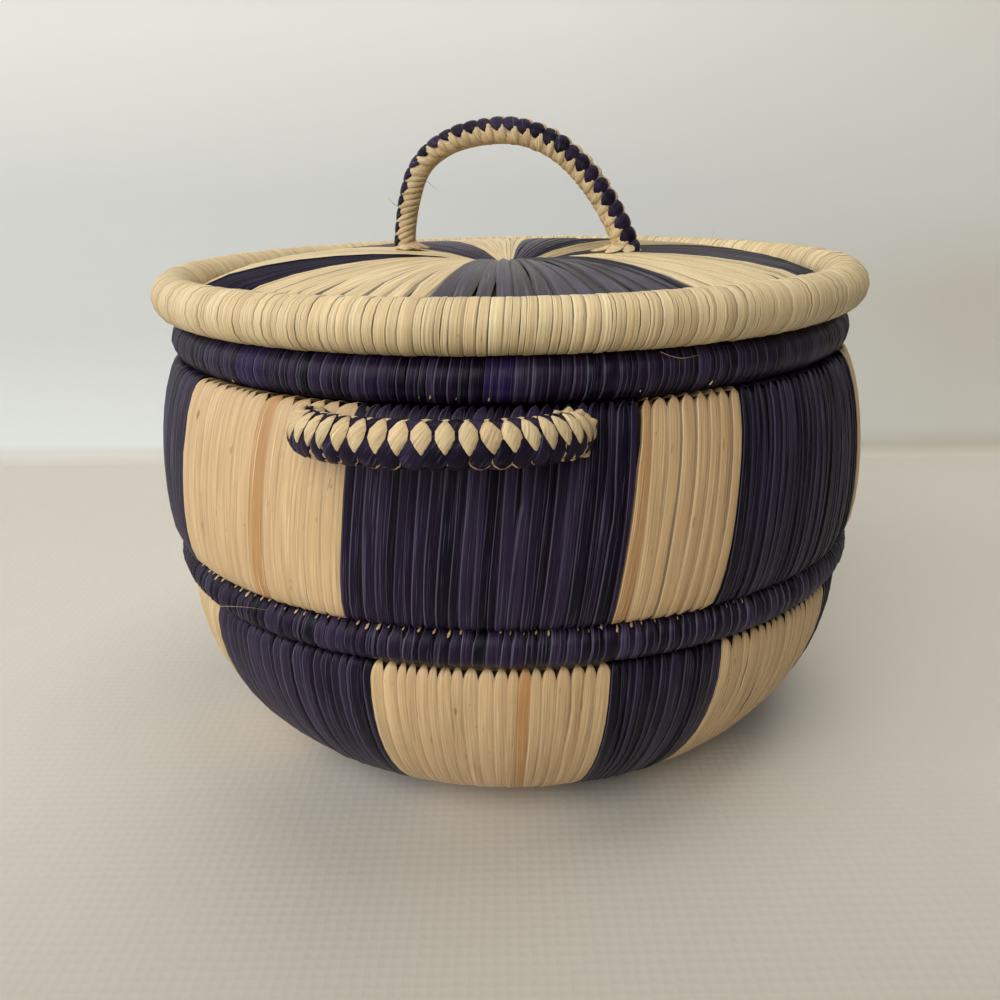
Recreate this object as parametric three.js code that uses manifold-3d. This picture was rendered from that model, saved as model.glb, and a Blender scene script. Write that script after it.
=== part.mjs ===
// Round basket with a lift-off lid: grass bundles wrapped in natural and purple palm strips.
// Millimetres, +Z up. The origin is the middle of the base's underside, and -Y is the front.
import * as THREE from "three";
import { mergeVertices } from "three/addons/utils/BufferGeometryUtils.js";
import Module from "manifold-3d";

// Fits between pieces
const touchGap = 0.3;
const weldGap = 1e-4;
const seamGap = 0.6;
const lidPlay = 1.5;
const wrapThickness = 1.2;

// Base disc
const baseRadius = 75.3;
const baseHeight = 11;
const baseChamfer = 3;
const baseKnotRadius = 7.7;
const baseKnotHeight = 9;

// Rim coil: its ring is the size that the rings below and above it follow
const rimCoilRingRadius = 126.4;
const rimCoilRadius = 8;
const rimCoilHeight = 168.4;

// Middle coil
const midCoilOutset = 5.9;
const midCoilRadius = 8;
const midCoilDrop = 83.3;
const midCoilRingRadius = rimCoilRingRadius + midCoilOutset;
const midCoilHeight = rimCoilHeight - midCoilDrop;

// Upper wall: a gently bowed flat band between the coils
const upperWallThickness = 13.4;
const upperWallBow = 7.4;
const upperWallFootOutset = 2.3;
const upperWallHeadOutset = 2.2;
const upperWallFootRadius = midCoilRingRadius + upperWallFootOutset;
const upperWallHeadRadius = rimCoilRingRadius + upperWallHeadOutset;

// Lower wall: a quarter of an ellipse from the base's edge up to the middle coil
const lowerWallThickness = 12;
const lowerWallCentreRadius = 68;
const lowerWallInset = 0.3;
const lowerWallDrop = 76;
const lowerWallBulge = midCoilRingRadius - lowerWallInset - lowerWallCentreRadius;
const lowerWallFocusHeight = lowerWallDrop + lowerWallThickness / 2;

// Lid
const lidRimOverhang = 5.1;
const lidRimRingRadius = rimCoilRingRadius + lidRimOverhang;
const lidRimRadius = 8.5;
const lidDiscThickness = 13;
const lidDiscCrown = 10.5;
const lidDiscHoleRadius = 8;
const lidKnotHeight = 7;
const locatingCoilRadius = 5;

// Lid handle: the arch's route in its own upright plane, as [along, above the lid rim's middle]
const lidHandleRadius = 5.3;
const lidHandleTurnDeg = -18;
const lidHandleRoute = [
  [-44.5, 5], [-44.4, 17], [-42, 30], [-36.8, 43], [-28.7, 50.3], [-17, 55], [1, 56.7],
  [13.6, 53.8], [25, 47.2], [34.7, 37.5], [43.5, 24], [49.4, 11], [51.5, 5],
];

// Side handles: half an ellipse standing out from the wall
const sideHandleRadius = 6.6;
const sideHandleHalfSpan = 41;
const sideHandleReach = 26.5;
const sideHandleRise = 2.5;
const sideHandleDrop = 14.4;
const sideHandleFootInset = 2.6;
const sideHandleAzimuthDeg = -98.5;
const sideHandleHeight = rimCoilHeight - sideHandleDrop;
const sideHandleFootRadius = upperWallFootRadius - sideHandleFootInset;

// Lashings round the handles' feet
const lashingRadius = 1.8;
const sideLashingFromEnd = 4;
const lidLashingFromEnd = 8.5;

// Colour blocks round the walls, as azimuths where one colour ends and the next starts
const blockCount = 12;
const seenBlockBordersDeg = [-144.5, -111, -76.5, -59, -28];
const firstUpperBlockIsPurple = false;

// Colour petals on the lid, as azimuths, starting with a purple one
const petalBordersDeg = [-103, -58, -25, 12, 46, 82, 112, 150, 190, 219];

// Facets
const fullTurn = 360;
const bodyStepDeg = 12.3;
const lidStepDeg = 12.5;
const baseStepDeg = 15;
const coilSides = 8;
const bandStations = 4;
const bandSquareness = 4;
const sideRouteSpans = 8;
const routeSteps = 13;
const lashingSides = 6;
const lashingSteps = 10;

// Colours
const natural = new THREE.MeshStandardMaterial({ color: 0xd8b888, roughness: 0.62, metalness: 0 });
const purple = new THREE.MeshStandardMaterial({ color: 0x2e2740, roughness: 0.5, metalness: 0 });
const grass = new THREE.MeshStandardMaterial({ color: 0xb59a66, roughness: 0.85, metalness: 0 });

const wasm = await Module();
wasm.setup();

const radians = THREE.MathUtils.degToRad;

// Outlines: closed, anticlockwise lists of [radius, height]

// A round coil's outline, with one corner turned towards its contact
function coilOutline(coil, inset) {
  return Array.from({ length: coilSides }, (_, k) => {
    const turn = coil.contactAngle + (2 * Math.PI * k) / coilSides;
    const reach = coil.radius - inset;
    return [coil.ringRadius + reach * Math.cos(turn), coil.height + reach * Math.sin(turn)];
  });
}

// A flat bundle's outline along a line in the radial plane, with round ends
function bandOutline(band, inset) {
  const length = band.line.getLength();
  const point = (station, side) => {
    const along = 0.5 + station * (0.5 - inset / length);
    const onLine = THREE.MathUtils.clamp(along, 0, 1);
    const tangent = band.line.getTangentAt(onLine);
    const middle = band.line.getPointAt(onLine).addScaledVector(tangent, (along - onLine) * length);
    const roundness = (1 - Math.abs(station) ** bandSquareness) ** (1 / bandSquareness);
    const offset = side * roundness * (band.thickness / 2 - inset);
    return [middle.x + tangent.y * offset, middle.y - tangent.x * offset];
  };
  const stations = Array.from({ length: bandStations }, (_, k) =>
    Math.sin(((2 * k + 1 - bandStations) / bandStations) * (Math.PI / 2)));
  const outerSide = stations.map((station) => point(station, 1));
  const innerSide = stations.map((station) => point(station, -1)).reverse();
  return [point(-1, 0), ...outerSide, point(1, 0), ...innerSide];
}

// The base's outline: flat above and below, with chamfered edges
function baseOutline(inset) {
  const [inner, outer] = [baseKnotRadius + touchGap + inset, baseRadius - inset];
  const [bottom, top] = [inset, baseHeight - inset];
  return [
    [inner + baseChamfer, bottom], [outer - baseChamfer, bottom],
    [outer, bottom + baseChamfer], [outer, top - baseChamfer],
    [outer - baseChamfer, top], [inner + baseChamfer, top],
    [inner, top - baseChamfer], [inner, bottom + baseChamfer],
  ];
}

// Bodies of revolution

// Evenly divided azimuths between two borders, in radians
function azimuths(fromDeg, toDeg, stepDeg, trimDeg = 0) {
  const steps = Math.ceil((toDeg - fromDeg) / stepDeg);
  const inner = Array.from({ length: steps - 1 }, (_, k) => fromDeg + ((toDeg - fromDeg) * (k + 1)) / steps);
  return [fromDeg + trimDeg, ...inner, toDeg - trimDeg].map(radians);
}

function positionsAlong(outline, angles) {
  return angles.flatMap((angle) =>
    outline.flatMap(([radius, height]) => [radius * Math.cos(angle), radius * Math.sin(angle), height]));
}

// Triangles of one skin, facing away from the outline's inside, or into it for a hollow
function skinFaces(sides, spans, start, wraps, hollow) {
  const faces = [];
  for (let span = 0; span < spans; span++) {
    for (let side = 0; side < sides; side++) {
      const next = (side + 1) % sides;
      const near = start + span * sides;
      const far = start + (wraps && span === spans - 1 ? 0 : (span + 1) * sides);
      const quad = [near + side, far + side, far + next, near + next];
      if (hollow) quad.reverse();
      faces.push(quad[0], quad[1], quad[2], quad[0], quad[2], quad[3]);
    }
  }
  return faces;
}

function geometryOf(positions, faces) {
  const geometry = new THREE.BufferGeometry();
  geometry.setAttribute("position", new THREE.Float32BufferAttribute(positions, 3));
  geometry.setIndex(faces);
  geometry.computeVertexNormals();
  return geometry;
}

// A whole solid ring
function ringSolid(outline, angles) {
  const faces = skinFaces(outline.length, angles.length, 0, true, false);
  return geometryOf(positionsAlong(outline, angles), faces);
}

// A hollow sleeve along part of a turn, open at both ends
function sleeve(outer, inner, angles) {
  const sides = outer.length;
  const innerStart = sides * angles.length;
  const spans = angles.length - 1;
  const faces = [
    ...skinFaces(sides, spans, 0, false, false),
    ...skinFaces(sides, spans, innerStart, false, true),
  ];
  for (let side = 0; side < sides; side++) {
    const next = (side + 1) % sides;
    for (const [station, flip] of [[0, false], [spans * sides, true]]) {
      const quad = [side, next, innerStart + next, innerStart + side].map((index) => station + index);
      if (flip) quad.reverse();
      faces.push(quad[0], quad[1], quad[2], quad[0], quad[2], quad[3]);
    }
  }
  return geometryOf([...positionsAlong(outer, angles), ...positionsAlong(inner, angles)], faces);
}

// Cuts

function toSolid(geometry) {
  const bare = geometry.clone();
  bare.deleteAttribute("normal");
  bare.deleteAttribute("uv");
  const merged = mergeVertices(bare, weldGap);
  return new wasm.Manifold(new wasm.Mesh({
    numProp: 3,
    vertProperties: new Float32Array(merged.attributes.position.array),
    triVerts: new Uint32Array(merged.index.array),
  }));
}

function cutBy(geometry, ...cutters) {
  const solid = cutters.reduce((left, cutter) => left.subtract(toSolid(cutter)), toSolid(geometry));
  const mesh = solid.getMesh();
  return geometryOf(Array.from(mesh.vertProperties), Array.from(mesh.triVerts));
}

// Places and seats

// Height at which something at this radius rests on a coil, or hangs under it
function seatOn(coil, radius, side) {
  const reach = coil.radius + touchGap;
  return coil.height + side * Math.sqrt(reach ** 2 - (radius - coil.ringRadius) ** 2);
}

// Lowest height of an outline at a radius
function undersideAt(outline, radius) {
  const crossings = outline.flatMap(([r0, z0], k) => {
    const [r1, z1] = outline[(k + 1) % outline.length];
    const share = (radius - r0) / (r1 - r0);
    return share >= 0 && share <= 1 ? [z0 + share * (z1 - z0)] : [];
  });
  return Math.min(...crossings);
}

function add(parent, name, geometry, material) {
  const mesh = new THREE.Mesh(geometry, material);
  mesh.name = name;
  parent.add(mesh);
}

// The coils, and the lines that the flat bundles follow

const lidRimHeight = rimCoilHeight + Math.sqrt(
  (rimCoilRadius + lidRimRadius + touchGap) ** 2 - (lidRimRingRadius - rimCoilRingRadius) ** 2);
const seatAngle = Math.atan2(lidRimHeight - rimCoilHeight, lidRimRingRadius - rimCoilRingRadius);

const midCoil = {
  ringRadius: midCoilRingRadius, radius: midCoilRadius, height: midCoilHeight, contactAngle: Math.PI / 2,
};
const rimCoil = {
  ringRadius: rimCoilRingRadius, radius: rimCoilRadius, height: rimCoilHeight, contactAngle: seatAngle,
};
const lidRim = {
  ringRadius: lidRimRingRadius, radius: lidRimRadius, height: lidRimHeight, contactAngle: 0,
};

const lowerWallTop = midCoilHeight - midCoilRadius - touchGap;
const lowerTurnAtTop = Math.asin((lowerWallFocusHeight - lowerWallTop) / lowerWallDrop);
const lowerTurnAtBase = Math.acos((baseRadius + touchGap - lowerWallCentreRadius) / lowerWallBulge);
const lowerWall = {
  line: new THREE.EllipseCurve(
    lowerWallCentreRadius, lowerWallFocusHeight, lowerWallBulge, lowerWallDrop,
    -lowerTurnAtBase, -lowerTurnAtTop),
  thickness: lowerWallThickness,
};

const upperWallFoot = new THREE.Vector2(upperWallFootRadius, seatOn(midCoil, upperWallFootRadius, 1));
const upperWallHead = new THREE.Vector2(upperWallHeadRadius, seatOn(rimCoil, upperWallHeadRadius, -1));
const upperWall = {
  line: new THREE.QuadraticBezierCurve(
    upperWallFoot,
    upperWallFoot.clone().add(upperWallHead).divideScalar(2).add(new THREE.Vector2(upperWallBow, 0)),
    upperWallHead),
  thickness: upperWallThickness,
};

const discEdge = new THREE.Vector2(lidRimRingRadius - lidRimRadius - touchGap, lidRimHeight);
const discHole = new THREE.Vector2(lidDiscHoleRadius, lidRimHeight);
const lidDisc = {
  line: new THREE.QuadraticBezierCurve(
    discEdge,
    discEdge.clone().add(discHole).divideScalar(2).add(new THREE.Vector2(0, lidDiscCrown)),
    discHole),
  thickness: lidDiscThickness,
};

// Wall blocks: the seen borders, then the rest of the turn in equal shares

const unseenBlocks = blockCount - seenBlockBordersDeg.length + 1;
const lastSeenBorder = seenBlockBordersDeg[seenBlockBordersDeg.length - 1];
const unseenShare = (seenBlockBordersDeg[0] + fullTurn - lastSeenBorder) / unseenBlocks;
const blockBorders = [
  ...seenBlockBordersDeg,
  ...Array.from({ length: unseenBlocks }, (_, k) => lastSeenBorder + unseenShare * (k + 1)),
];

// Every azimuth that the body's rings share, so that their facets match
const bodyAngles = blockBorders.slice(0, -1).flatMap((border, k) =>
  azimuths(border, blockBorders[k + 1], bodyStepDeg).slice(0, -1));
const lidAngles = petalBordersDeg.flatMap((border, k) =>
  azimuths(border, petalBordersDeg[k + 1] ?? petalBordersDeg[0] + fullTurn, lidStepDeg).slice(0, -1));

// The same azimuths with a seam, for a sleeve that goes all the way round
function seamed(angles, outerRadius) {
  const half = seamGap / 2 / outerRadius;
  return [angles[0] + half, ...angles.slice(1), angles[0] + 2 * Math.PI - half];
}

function addCoil(parent, name, coil, angles, wrapMaterial) {
  const wrapAngles = seamed(angles, coil.ringRadius + coil.radius);
  add(parent, `${name}_core`, ringSolid(coilOutline(coil, wrapThickness + touchGap), angles), grass);
  const wrap = sleeve(coilOutline(coil, 0), coilOutline(coil, wrapThickness), wrapAngles);
  add(parent, `${name}_wrap`, wrap, wrapMaterial);
}

function addWall(parent, name, band, firstIsPurple) {
  add(parent, `${name}_core`, ringSolid(bandOutline(band, wrapThickness + touchGap), bodyAngles), grass);
  const trimDeg = THREE.MathUtils.radToDeg(touchGap / 2 / upperWallFootRadius);
  for (let block = 0; block < blockCount; block++) {
    const angles = azimuths(blockBorders[block], blockBorders[block + 1], bodyStepDeg, trimDeg);
    const geometry = sleeve(bandOutline(band, 0), bandOutline(band, wrapThickness), angles);
    const isPurple = (block % 2 === 0) === firstIsPurple;
    add(parent, `${name}_wrap_${String(block + 1).padStart(2, "0")}`, geometry, isPurple ? purple : natural);
  }
}

// Handles: a core bundle in a braided sleeve, cut to the surface that carries it

function polygon(radius, sides) {
  return Array.from({ length: sides }, (_, k) => {
    const turn = (2 * Math.PI * k) / sides;
    return new THREE.Vector2(radius * Math.cos(turn), radius * Math.sin(turn));
  });
}

function sweptCord(route, radius, holeRadius = 0) {
  const section = new THREE.Shape(polygon(radius, coilSides));
  if (holeRadius > 0) section.holes.push(new THREE.Path(polygon(holeRadius, coilSides)));
  return new THREE.ExtrudeGeometry(section, { steps: routeSteps, bevelEnabled: false, extrudePath: route });
}

function addHandle(parent, name, route, radius, carrier) {
  const holeRadius = radius - wrapThickness;
  add(parent, `${name}_core`, cutBy(sweptCord(route, holeRadius - touchGap), carrier), grass);
  add(parent, `${name}_braid`, cutBy(sweptCord(route, radius, holeRadius), carrier), purple);
}

// Rings of strips round a handle's two feet, pressed against the surface that carries them
function addLashings(parent, name, route, footRadius, fromEnd, carrier) {
  const ringRadius = footRadius + 2 * touchGap + lashingRadius;
  const section = polygon(lashingRadius, lashingSides)
    .map((corner) => corner.add(new THREE.Vector2(ringRadius, 0)));
  const share = fromEnd / route.getLength();
  for (const [side, along] of [["left", share], ["right", 1 - share]]) {
    const ring = new THREE.LatheGeometry([...section, section[0]], lashingSteps);
    const place = route.getPointAt(along);
    const lathed = new THREE.Vector3(0, 1, 0);
    ring.applyQuaternion(new THREE.Quaternion().setFromUnitVectors(lathed, route.getTangentAt(along)));
    ring.translate(place.x, place.y, place.z);
    const cut = cutBy(ring, carrier, sweptCord(route, footRadius + touchGap));
    add(parent, `${name}_lashing_${side}`, cut, natural);
  }
}

// Basket body

function addBase(parent) {
  const angles = azimuths(0, fullTurn, baseStepDeg).slice(0, -1);
  const wrap = sleeve(baseOutline(0), baseOutline(wrapThickness), seamed(angles, baseRadius));
  add(parent, "base_core", ringSolid(baseOutline(wrapThickness + touchGap), angles), grass);
  add(parent, "base_wrap", wrap, natural);
  const knot = new THREE.CylinderGeometry(baseKnotRadius, baseKnotRadius, baseKnotHeight, coilSides * 2);
  knot.rotateX(Math.PI / 2).translate(0, 0, baseKnotHeight / 2);
  add(parent, "base_knot", knot, natural);
}

function sideHandleRoute(azimuthDeg) {
  const out = new THREE.Vector3(Math.cos(radians(azimuthDeg)), Math.sin(radians(azimuthDeg)), 0);
  const along = new THREE.Vector3(-out.y, out.x, 0);
  const point = (turn) => new THREE.Vector3(0, 0, sideHandleHeight + sideHandleRise * Math.sin(turn))
    .addScaledVector(out, sideHandleFootRadius + sideHandleReach * Math.sin(turn))
    .addScaledVector(along, -sideHandleHalfSpan * Math.cos(turn));
  const stations = Array.from({ length: sideRouteSpans + 1 }, (_, k) =>
    point((Math.PI * k) / sideRouteSpans));
  return new THREE.CatmullRomCurve3(stations);
}

function addSideHandle(parent, name, azimuthDeg, carrier) {
  const route = sideHandleRoute(azimuthDeg);
  addHandle(parent, name, route, sideHandleRadius, carrier);
  addLashings(parent, name, route, sideHandleRadius, sideLashingFromEnd, carrier);
}

function basketBody() {
  const body = new THREE.Group();
  addBase(body);
  addWall(body, "lower_wall", lowerWall, !firstUpperBlockIsPurple);
  addCoil(body, "mid_coil", midCoil, bodyAngles, purple);
  addWall(body, "upper_wall", upperWall, firstUpperBlockIsPurple);
  addCoil(body, "rim_coil", rimCoil, bodyAngles, purple);
  const wallCarrier = ringSolid(bandOutline(upperWall, -touchGap), bodyAngles);
  addSideHandle(body, "front_handle", sideHandleAzimuthDeg, wallCarrier);
  addSideHandle(body, "back_handle", sideHandleAzimuthDeg + fullTurn / 2, wallCarrier);
  return body;
}

// Lid

function addLidDisc(parent) {
  add(parent, "lid_disc_core", ringSolid(bandOutline(lidDisc, wrapThickness + touchGap), lidAngles), grass);
  const trimDeg = THREE.MathUtils.radToDeg(touchGap / lidRimRingRadius);
  petalBordersDeg.forEach((border, k) => {
    const next = petalBordersDeg[k + 1] ?? petalBordersDeg[0] + fullTurn;
    const angles = azimuths(border, next, lidStepDeg, trimDeg);
    const geometry = sleeve(bandOutline(lidDisc, 0), bandOutline(lidDisc, wrapThickness), angles);
    add(parent, `lid_petal_${String(k + 1).padStart(2, "0")}`, geometry, k % 2 === 0 ? purple : natural);
  });
  const knot = new THREE.CylinderGeometry(
    lidDiscHoleRadius - touchGap, lidDiscHoleRadius - touchGap, lidKnotHeight, coilSides * 2);
  knot.rotateX(Math.PI / 2).translate(0, 0, lidRimHeight);
  add(parent, "lid_knot", knot, natural);
}

function addLidHandle(parent) {
  const turn = radians(lidHandleTurnDeg);
  const route = new THREE.CatmullRomCurve3(lidHandleRoute.map(([along, above]) =>
    new THREE.Vector3(along * Math.cos(turn), along * Math.sin(turn), lidRimHeight + above)));
  const carrier = ringSolid(bandOutline(lidDisc, -touchGap), lidAngles);
  addHandle(parent, "lid_handle", route, lidHandleRadius, carrier);
  addLashings(parent, "lid_handle", route, lidHandleRadius, lidLashingFromEnd, carrier);
}

function lid() {
  const lidGroup = new THREE.Group();
  addLidDisc(lidGroup);
  addCoil(lidGroup, "lid_rim", lidRim, lidAngles, natural);
  const ringRadius = rimCoilRingRadius - rimCoilRadius - lidPlay - locatingCoilRadius;
  const locatingCoil = {
    ringRadius,
    radius: locatingCoilRadius,
    height: undersideAt(bandOutline(lidDisc, 0), ringRadius) - touchGap - locatingCoilRadius,
    contactAngle: Math.PI / 2,
  };
  add(lidGroup, "lid_locating_coil", ringSolid(coilOutline(locatingCoil, 0), lidAngles), natural);
  addLidHandle(lidGroup);
  return lidGroup;
}

const group = new THREE.Group();
group.add(basketBody(), lid());

export default group;
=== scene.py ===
"""Round lidded basket: every palm strip, coil, braid and knot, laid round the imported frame."""
import math
from typing import NamedTuple

import bpy
import numpy as np
from mathutils import Matrix, Vector


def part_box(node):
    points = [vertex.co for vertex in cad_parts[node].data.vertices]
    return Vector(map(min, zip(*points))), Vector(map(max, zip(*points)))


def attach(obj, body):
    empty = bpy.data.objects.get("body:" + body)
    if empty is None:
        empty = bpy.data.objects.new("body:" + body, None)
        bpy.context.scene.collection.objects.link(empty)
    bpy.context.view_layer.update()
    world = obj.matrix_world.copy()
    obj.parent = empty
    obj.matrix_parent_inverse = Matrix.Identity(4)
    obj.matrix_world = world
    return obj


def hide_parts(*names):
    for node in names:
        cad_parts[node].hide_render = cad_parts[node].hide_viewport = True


bl_info = {
    "name": "Lidded strip basket",
    "version": (1, 0, 0),
    "blender": (4, 5, 0),
    "location": "3D View > Sidebar > Basket",
    "description": "Builds a round basket of wound palm strips with a lift-off lid",
    "category": "Object",
}

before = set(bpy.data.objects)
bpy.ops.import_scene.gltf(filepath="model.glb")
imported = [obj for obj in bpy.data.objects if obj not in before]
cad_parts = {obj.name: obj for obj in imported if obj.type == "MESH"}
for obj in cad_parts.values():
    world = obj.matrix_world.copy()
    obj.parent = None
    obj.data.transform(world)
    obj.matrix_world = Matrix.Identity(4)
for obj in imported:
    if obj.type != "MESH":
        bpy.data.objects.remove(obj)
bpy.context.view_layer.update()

MM = 0.001
CM = 0.01
FULL_TURN = 2 * math.pi

# Every random draw starts from this number and one of its own
SEED = 41

# Points of a line before it is shared out, steps of a curve between two given points, and how much a bend
# draws stations together
FINE_POINTS = 240
CURVE_STEPS = 24
TURN_WEIGHT = 0.008

# Where a flat bundle's head begins, as a station, and how many times closer its stations stand there
HEAD_ZONE = 0.88
HEAD_WEIGHT = 7

# A flat bundle's end roundness, as a superellipse's exponent
BAND_SQUARENESS = 4

# Strip sections: anticlockwise (share of the width, height in millimetres above the bundle)
SHINGLE = ((0.60, -0.30), (0.42, 0.0), (-0.42, 0.16), (-0.53, 0.08), (-0.58, -0.25), (0.0, -0.80))
TURN = ((0.52, -0.32), (0.44, -0.02), (0.0, 0.04), (-0.44, 0.0), (-0.52, -0.32), (0.0, -0.95))
ROUND_TURN = ((0.54, -0.60), (0.34, 0.0), (0.0, 0.16), (-0.34, 0.0), (-0.54, -0.60), (0.0, -1.10))

# How far single strips stand off their bundle in millimetres, the share of its width that a strip loses where
# it parts from its neighbour, and the least radius in millimetres at which its width is laid out
LIFT = 0.12
SLIT_DEPTH = 0.36
LEAST_REACH = 5

# Range of the strips' tones where nothing else is given: 0 is the palest undyed or the darkest dyed one
TONES = (0, 0.85)


class Finish(NamedTuple):
    """A strip's surface: its colours, its fibres across and along, roughness, and how dark its lines are.

    Streaks are where light fibres begin, where they are full, and how light they get; on dyed strips these
    pale fibres also paint their sheen. Edges is how strong the painted highlight along a raised edge is, and
    the painted shadows in the creases between strips come with it. The dip_shadow is where a strip sinks
    under the next one, and how dark its painted shadow there ends."""
    colours: str
    across: float
    along: float
    rough: float
    dark_lines: float
    bump: float
    gloss: float = 0.5
    edges: float = 0.0
    streaks: tuple = (0.58, 0.70, 0.75)
    dip_shadow: tuple = (0.90, 0.5)
    blots: float = 0.0
    pale_fold_highlights: bool = False


class Look(NamedTuple):
    """How a block's strips look: width in millimetres, its spread, relief, the strength of their painted edge
    highlights and crease shadows, and range of tones.
    """
    pitch: float
    spread: float
    relief: float
    fold: float
    palest: float
    darkest: float


class Petal(NamedTuple):
    """A petal of the lid: its start in degrees, and its strips: material, tones, degrees apart, and the
    strength of their painted edge highlights and crease shadows.
    """
    start: float
    material: str
    tones: tuple = TONES
    pitch: float = 3.2
    fold: float = 0.9
    relief: float = 2.2


class Winding(NamedTuple):
    """A coil's turns: their number, the spread of their widths, their section, and the share that part."""
    turns: int
    spread: float
    section: tuple = TURN
    slits: float = 0.0


class Stitch(NamedTuple):
    """Stitches on a coil: degrees round its section, and width, length and depth in millimetres."""
    turn: float
    wide: float
    long: float
    depth: float


class Row(NamedTuple):
    """A row of scales: its angle round the handle, its offset in pitches, and sizes in millimetres.

    The row runs from the start's to the end's share of the handle, and its lean multiplies the weave's."""
    angle: float
    offset: float
    length: float
    arc: float
    rise: float = 0.0
    tilt: float = 0.0
    point: float = 1.8
    lean: float = 1.0
    start: float = 0.0
    end: float = 1.0


class Weave(NamedTuple):
    """How rows change along a handle: values from its start to its end.

    Inset is how far the rows' line lies inside the handle, crowd is how much closer the scales stand at both
    ends, and swell how far they stand out, in millimetres."""
    pitch: float
    inset: float = 0.0
    crowd: float = 0.0
    swell: float = 0.9
    twist: tuple = (0,)
    girth: tuple = (1,)
    lean: tuple = (0,)
    grain: tuple = (0,)


class Fan(NamedTuple):
    """Strip ends round a handle's foot: number, start, length, width and rise, in millimetres.

    The inset is how far from the handle's end the fan sits, and a favour above 0 lengthens it on one side."""
    side: str
    count: int
    inset: float
    inner: float
    long: float
    wide: float
    rise: float
    favour: float = 0.0


# Finishes: what the strips of each kind look like close by, and how deep the fine bumps are in metres
FINE_RELIEF = 0.0004
# Dyed strips' pale fibre streaks start sooner and grow lighter: partly grain, partly painted sheen
DYED_SHEEN_STREAKS = (0.57, 0.66, 0.85)
BLOT_TONE = (0.40, 0.30, 0.22)
FINISHES = {
    "natural_strip": Finish("straw", 10, 0.30, 0.50, 0.62, 0.6, edges=0.8, blots=0.75),
    "lid_strip": Finish("lid_straw", 7, 0.25, 0.50, 0.55, 0.8, edges=0.8),
    # Painted shadow: deeper and wider where each strip sinks under the next, with a weaker painted highlight,
    # for the lid's front left petal
    "lid_petal_strip": Finish("lid_straw", 7, 0.25, 0.50, 0.55, 0.8, edges=0.6, dip_shadow=(0.78, 0.15)),
    "purple_strip": Finish("dye", 9, 0.30, 0.40, 0.3, 0.7, 0.14, 0.8, DYED_SHEEN_STREAKS, pale_fold_highlights=True),
    "purple_lid_strip": Finish("dye", 9, 0.30, 0.42, 0.3, 0.7, 0.5, 0.6, DYED_SHEEN_STREAKS, (0.80, 0.05)),
    # Painted shade: a matt copy for the lid's left petal, whose pale sheen streaks are fewer and dimmer
    "purple_matt_strip": Finish("dye", 9, 0.30, 0.40, 0.6, 0.7, 0.01, 0.6, (0.60, 0.72, 0.6), (0.80, 0.1)),
    "natural_braid": Finish("braid_straw", 18, 1.5, 0.55, 0.55, 0.8),
    "purple_braid": Finish("dye", 16, 1.5, 0.46, 0.45, 0.7, 0.12),
    "grass_stems": Finish("grass", 40, 0.6, 0.75, 0.4, 0.9),
}

# Stations round each kind of outline
FLAT_BUNDLE_STATIONS = 36
ROUND_BUNDLE_STATIONS = 24
WALL_STATIONS = 40
LID_STATIONS = 30
BASE_STATIONS = 26
COIL_STATIONS = 14
KNOT_STATIONS = 10

# Walls: their blocks, the azimuths in degrees where the photo shows the colours change, and the blocks' looks
BLOCK_COUNT = 12
LOWER_BORDERS = (-145, -111.3, -78, -60.3, -30.5)
UPPER_BORDERS = (-145, -111.8, -75.8, -60.6, -26)
DYED = Look(3.5, 0.55, 2.1, 0.75, 0, 0.85)
NATURAL = Look(4.2, 0.3, 1.2, 0.35, 0.1, 0.85)
SMOOTH = Look(5.4, 0.45, 0.5, 0.2, 0, 0.6)
RIBBED = Look(4.7, 0.15, 2.2, 0.8, 0.62, 0.87)
LOWER_LOOKS = (DYED, NATURAL)
UPPER_LOOKS = (SMOOTH, DYED, RIBBED, DYED)

# How the strips lean in millimetres at azimuths in degrees, narrow and part; strips() explains each
LOWER_SHAPE = dict(lean=((0, 1.8),), head=(0.86, 0.25, 1.0), foot=(0.8, 1.0), fin=0.2, slits=0.08)
UPPER_SHAPE = dict(lean=((-180, 3.4), (-95, 3.4), (-66, 5.7), (-38, 6.8), (-10, 4.5), (30, 3.4)),
                   head=(0.855, 0.08, 0.985), foot=(0.90, 0.7), fin=0.7, slits=0.14)
COIL_SHAPE = dict(lean=((0, 0.8),), fold=0.8, wobble=0.1, slit_at=(0.70, 0.80), slit_long=(0.18, 0.26))
PETAL_SHAPE = dict(least_width=1.5 * MM, foot=(0.8, 0.8), spread=0.4, wobble=0.8, slits=0.3,
                   slit_at=(-0.98, -0.7), slit_long=(0.15, 0.4))
BASE_SHAPE = dict(least_width=1.4 * MM, foot=(0.7, 0.9))

# The orange-brown strips: each wall's blocks, how far through the block they stand, and their tone
RUST_STRIPS = {
    "upper_wall": {0: (0.67, 0.96), 2: (0.0, 0.92), 6: (0.3, 0.95)},
    "lower_wall": {1: (0.66, 1.0), 5: (0.36, 1.0), 9: (0.6, 0.98)},
}

# The lid's petals from the front one on, dyed and undyed in turn. Their tones also paint the light on the
# lid: the front right undyed petal is painted paler, the left dyed petal and the front left undyed petal
# darker
PETALS = (
    Petal(-103, "purple_lid_strip", relief=3.6),
    Petal(-58, "lid_strip", tones=(0, 0.15), fold=0.4),
    Petal(-25, "purple_lid_strip"),
    Petal(12, "lid_strip", fold=0.6),
    Petal(46, "purple_strip"),
    Petal(82, "lid_strip", fold=0.6),
    Petal(112, "purple_strip"),
    Petal(150, "lid_strip", fold=0.6),
    Petal(192.5, "purple_matt_strip", tones=(0, 0.3)),
    Petal(219, "lid_petal_strip", tones=(0.5, 0.87), pitch=3.9, relief=3.6),
)

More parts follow.
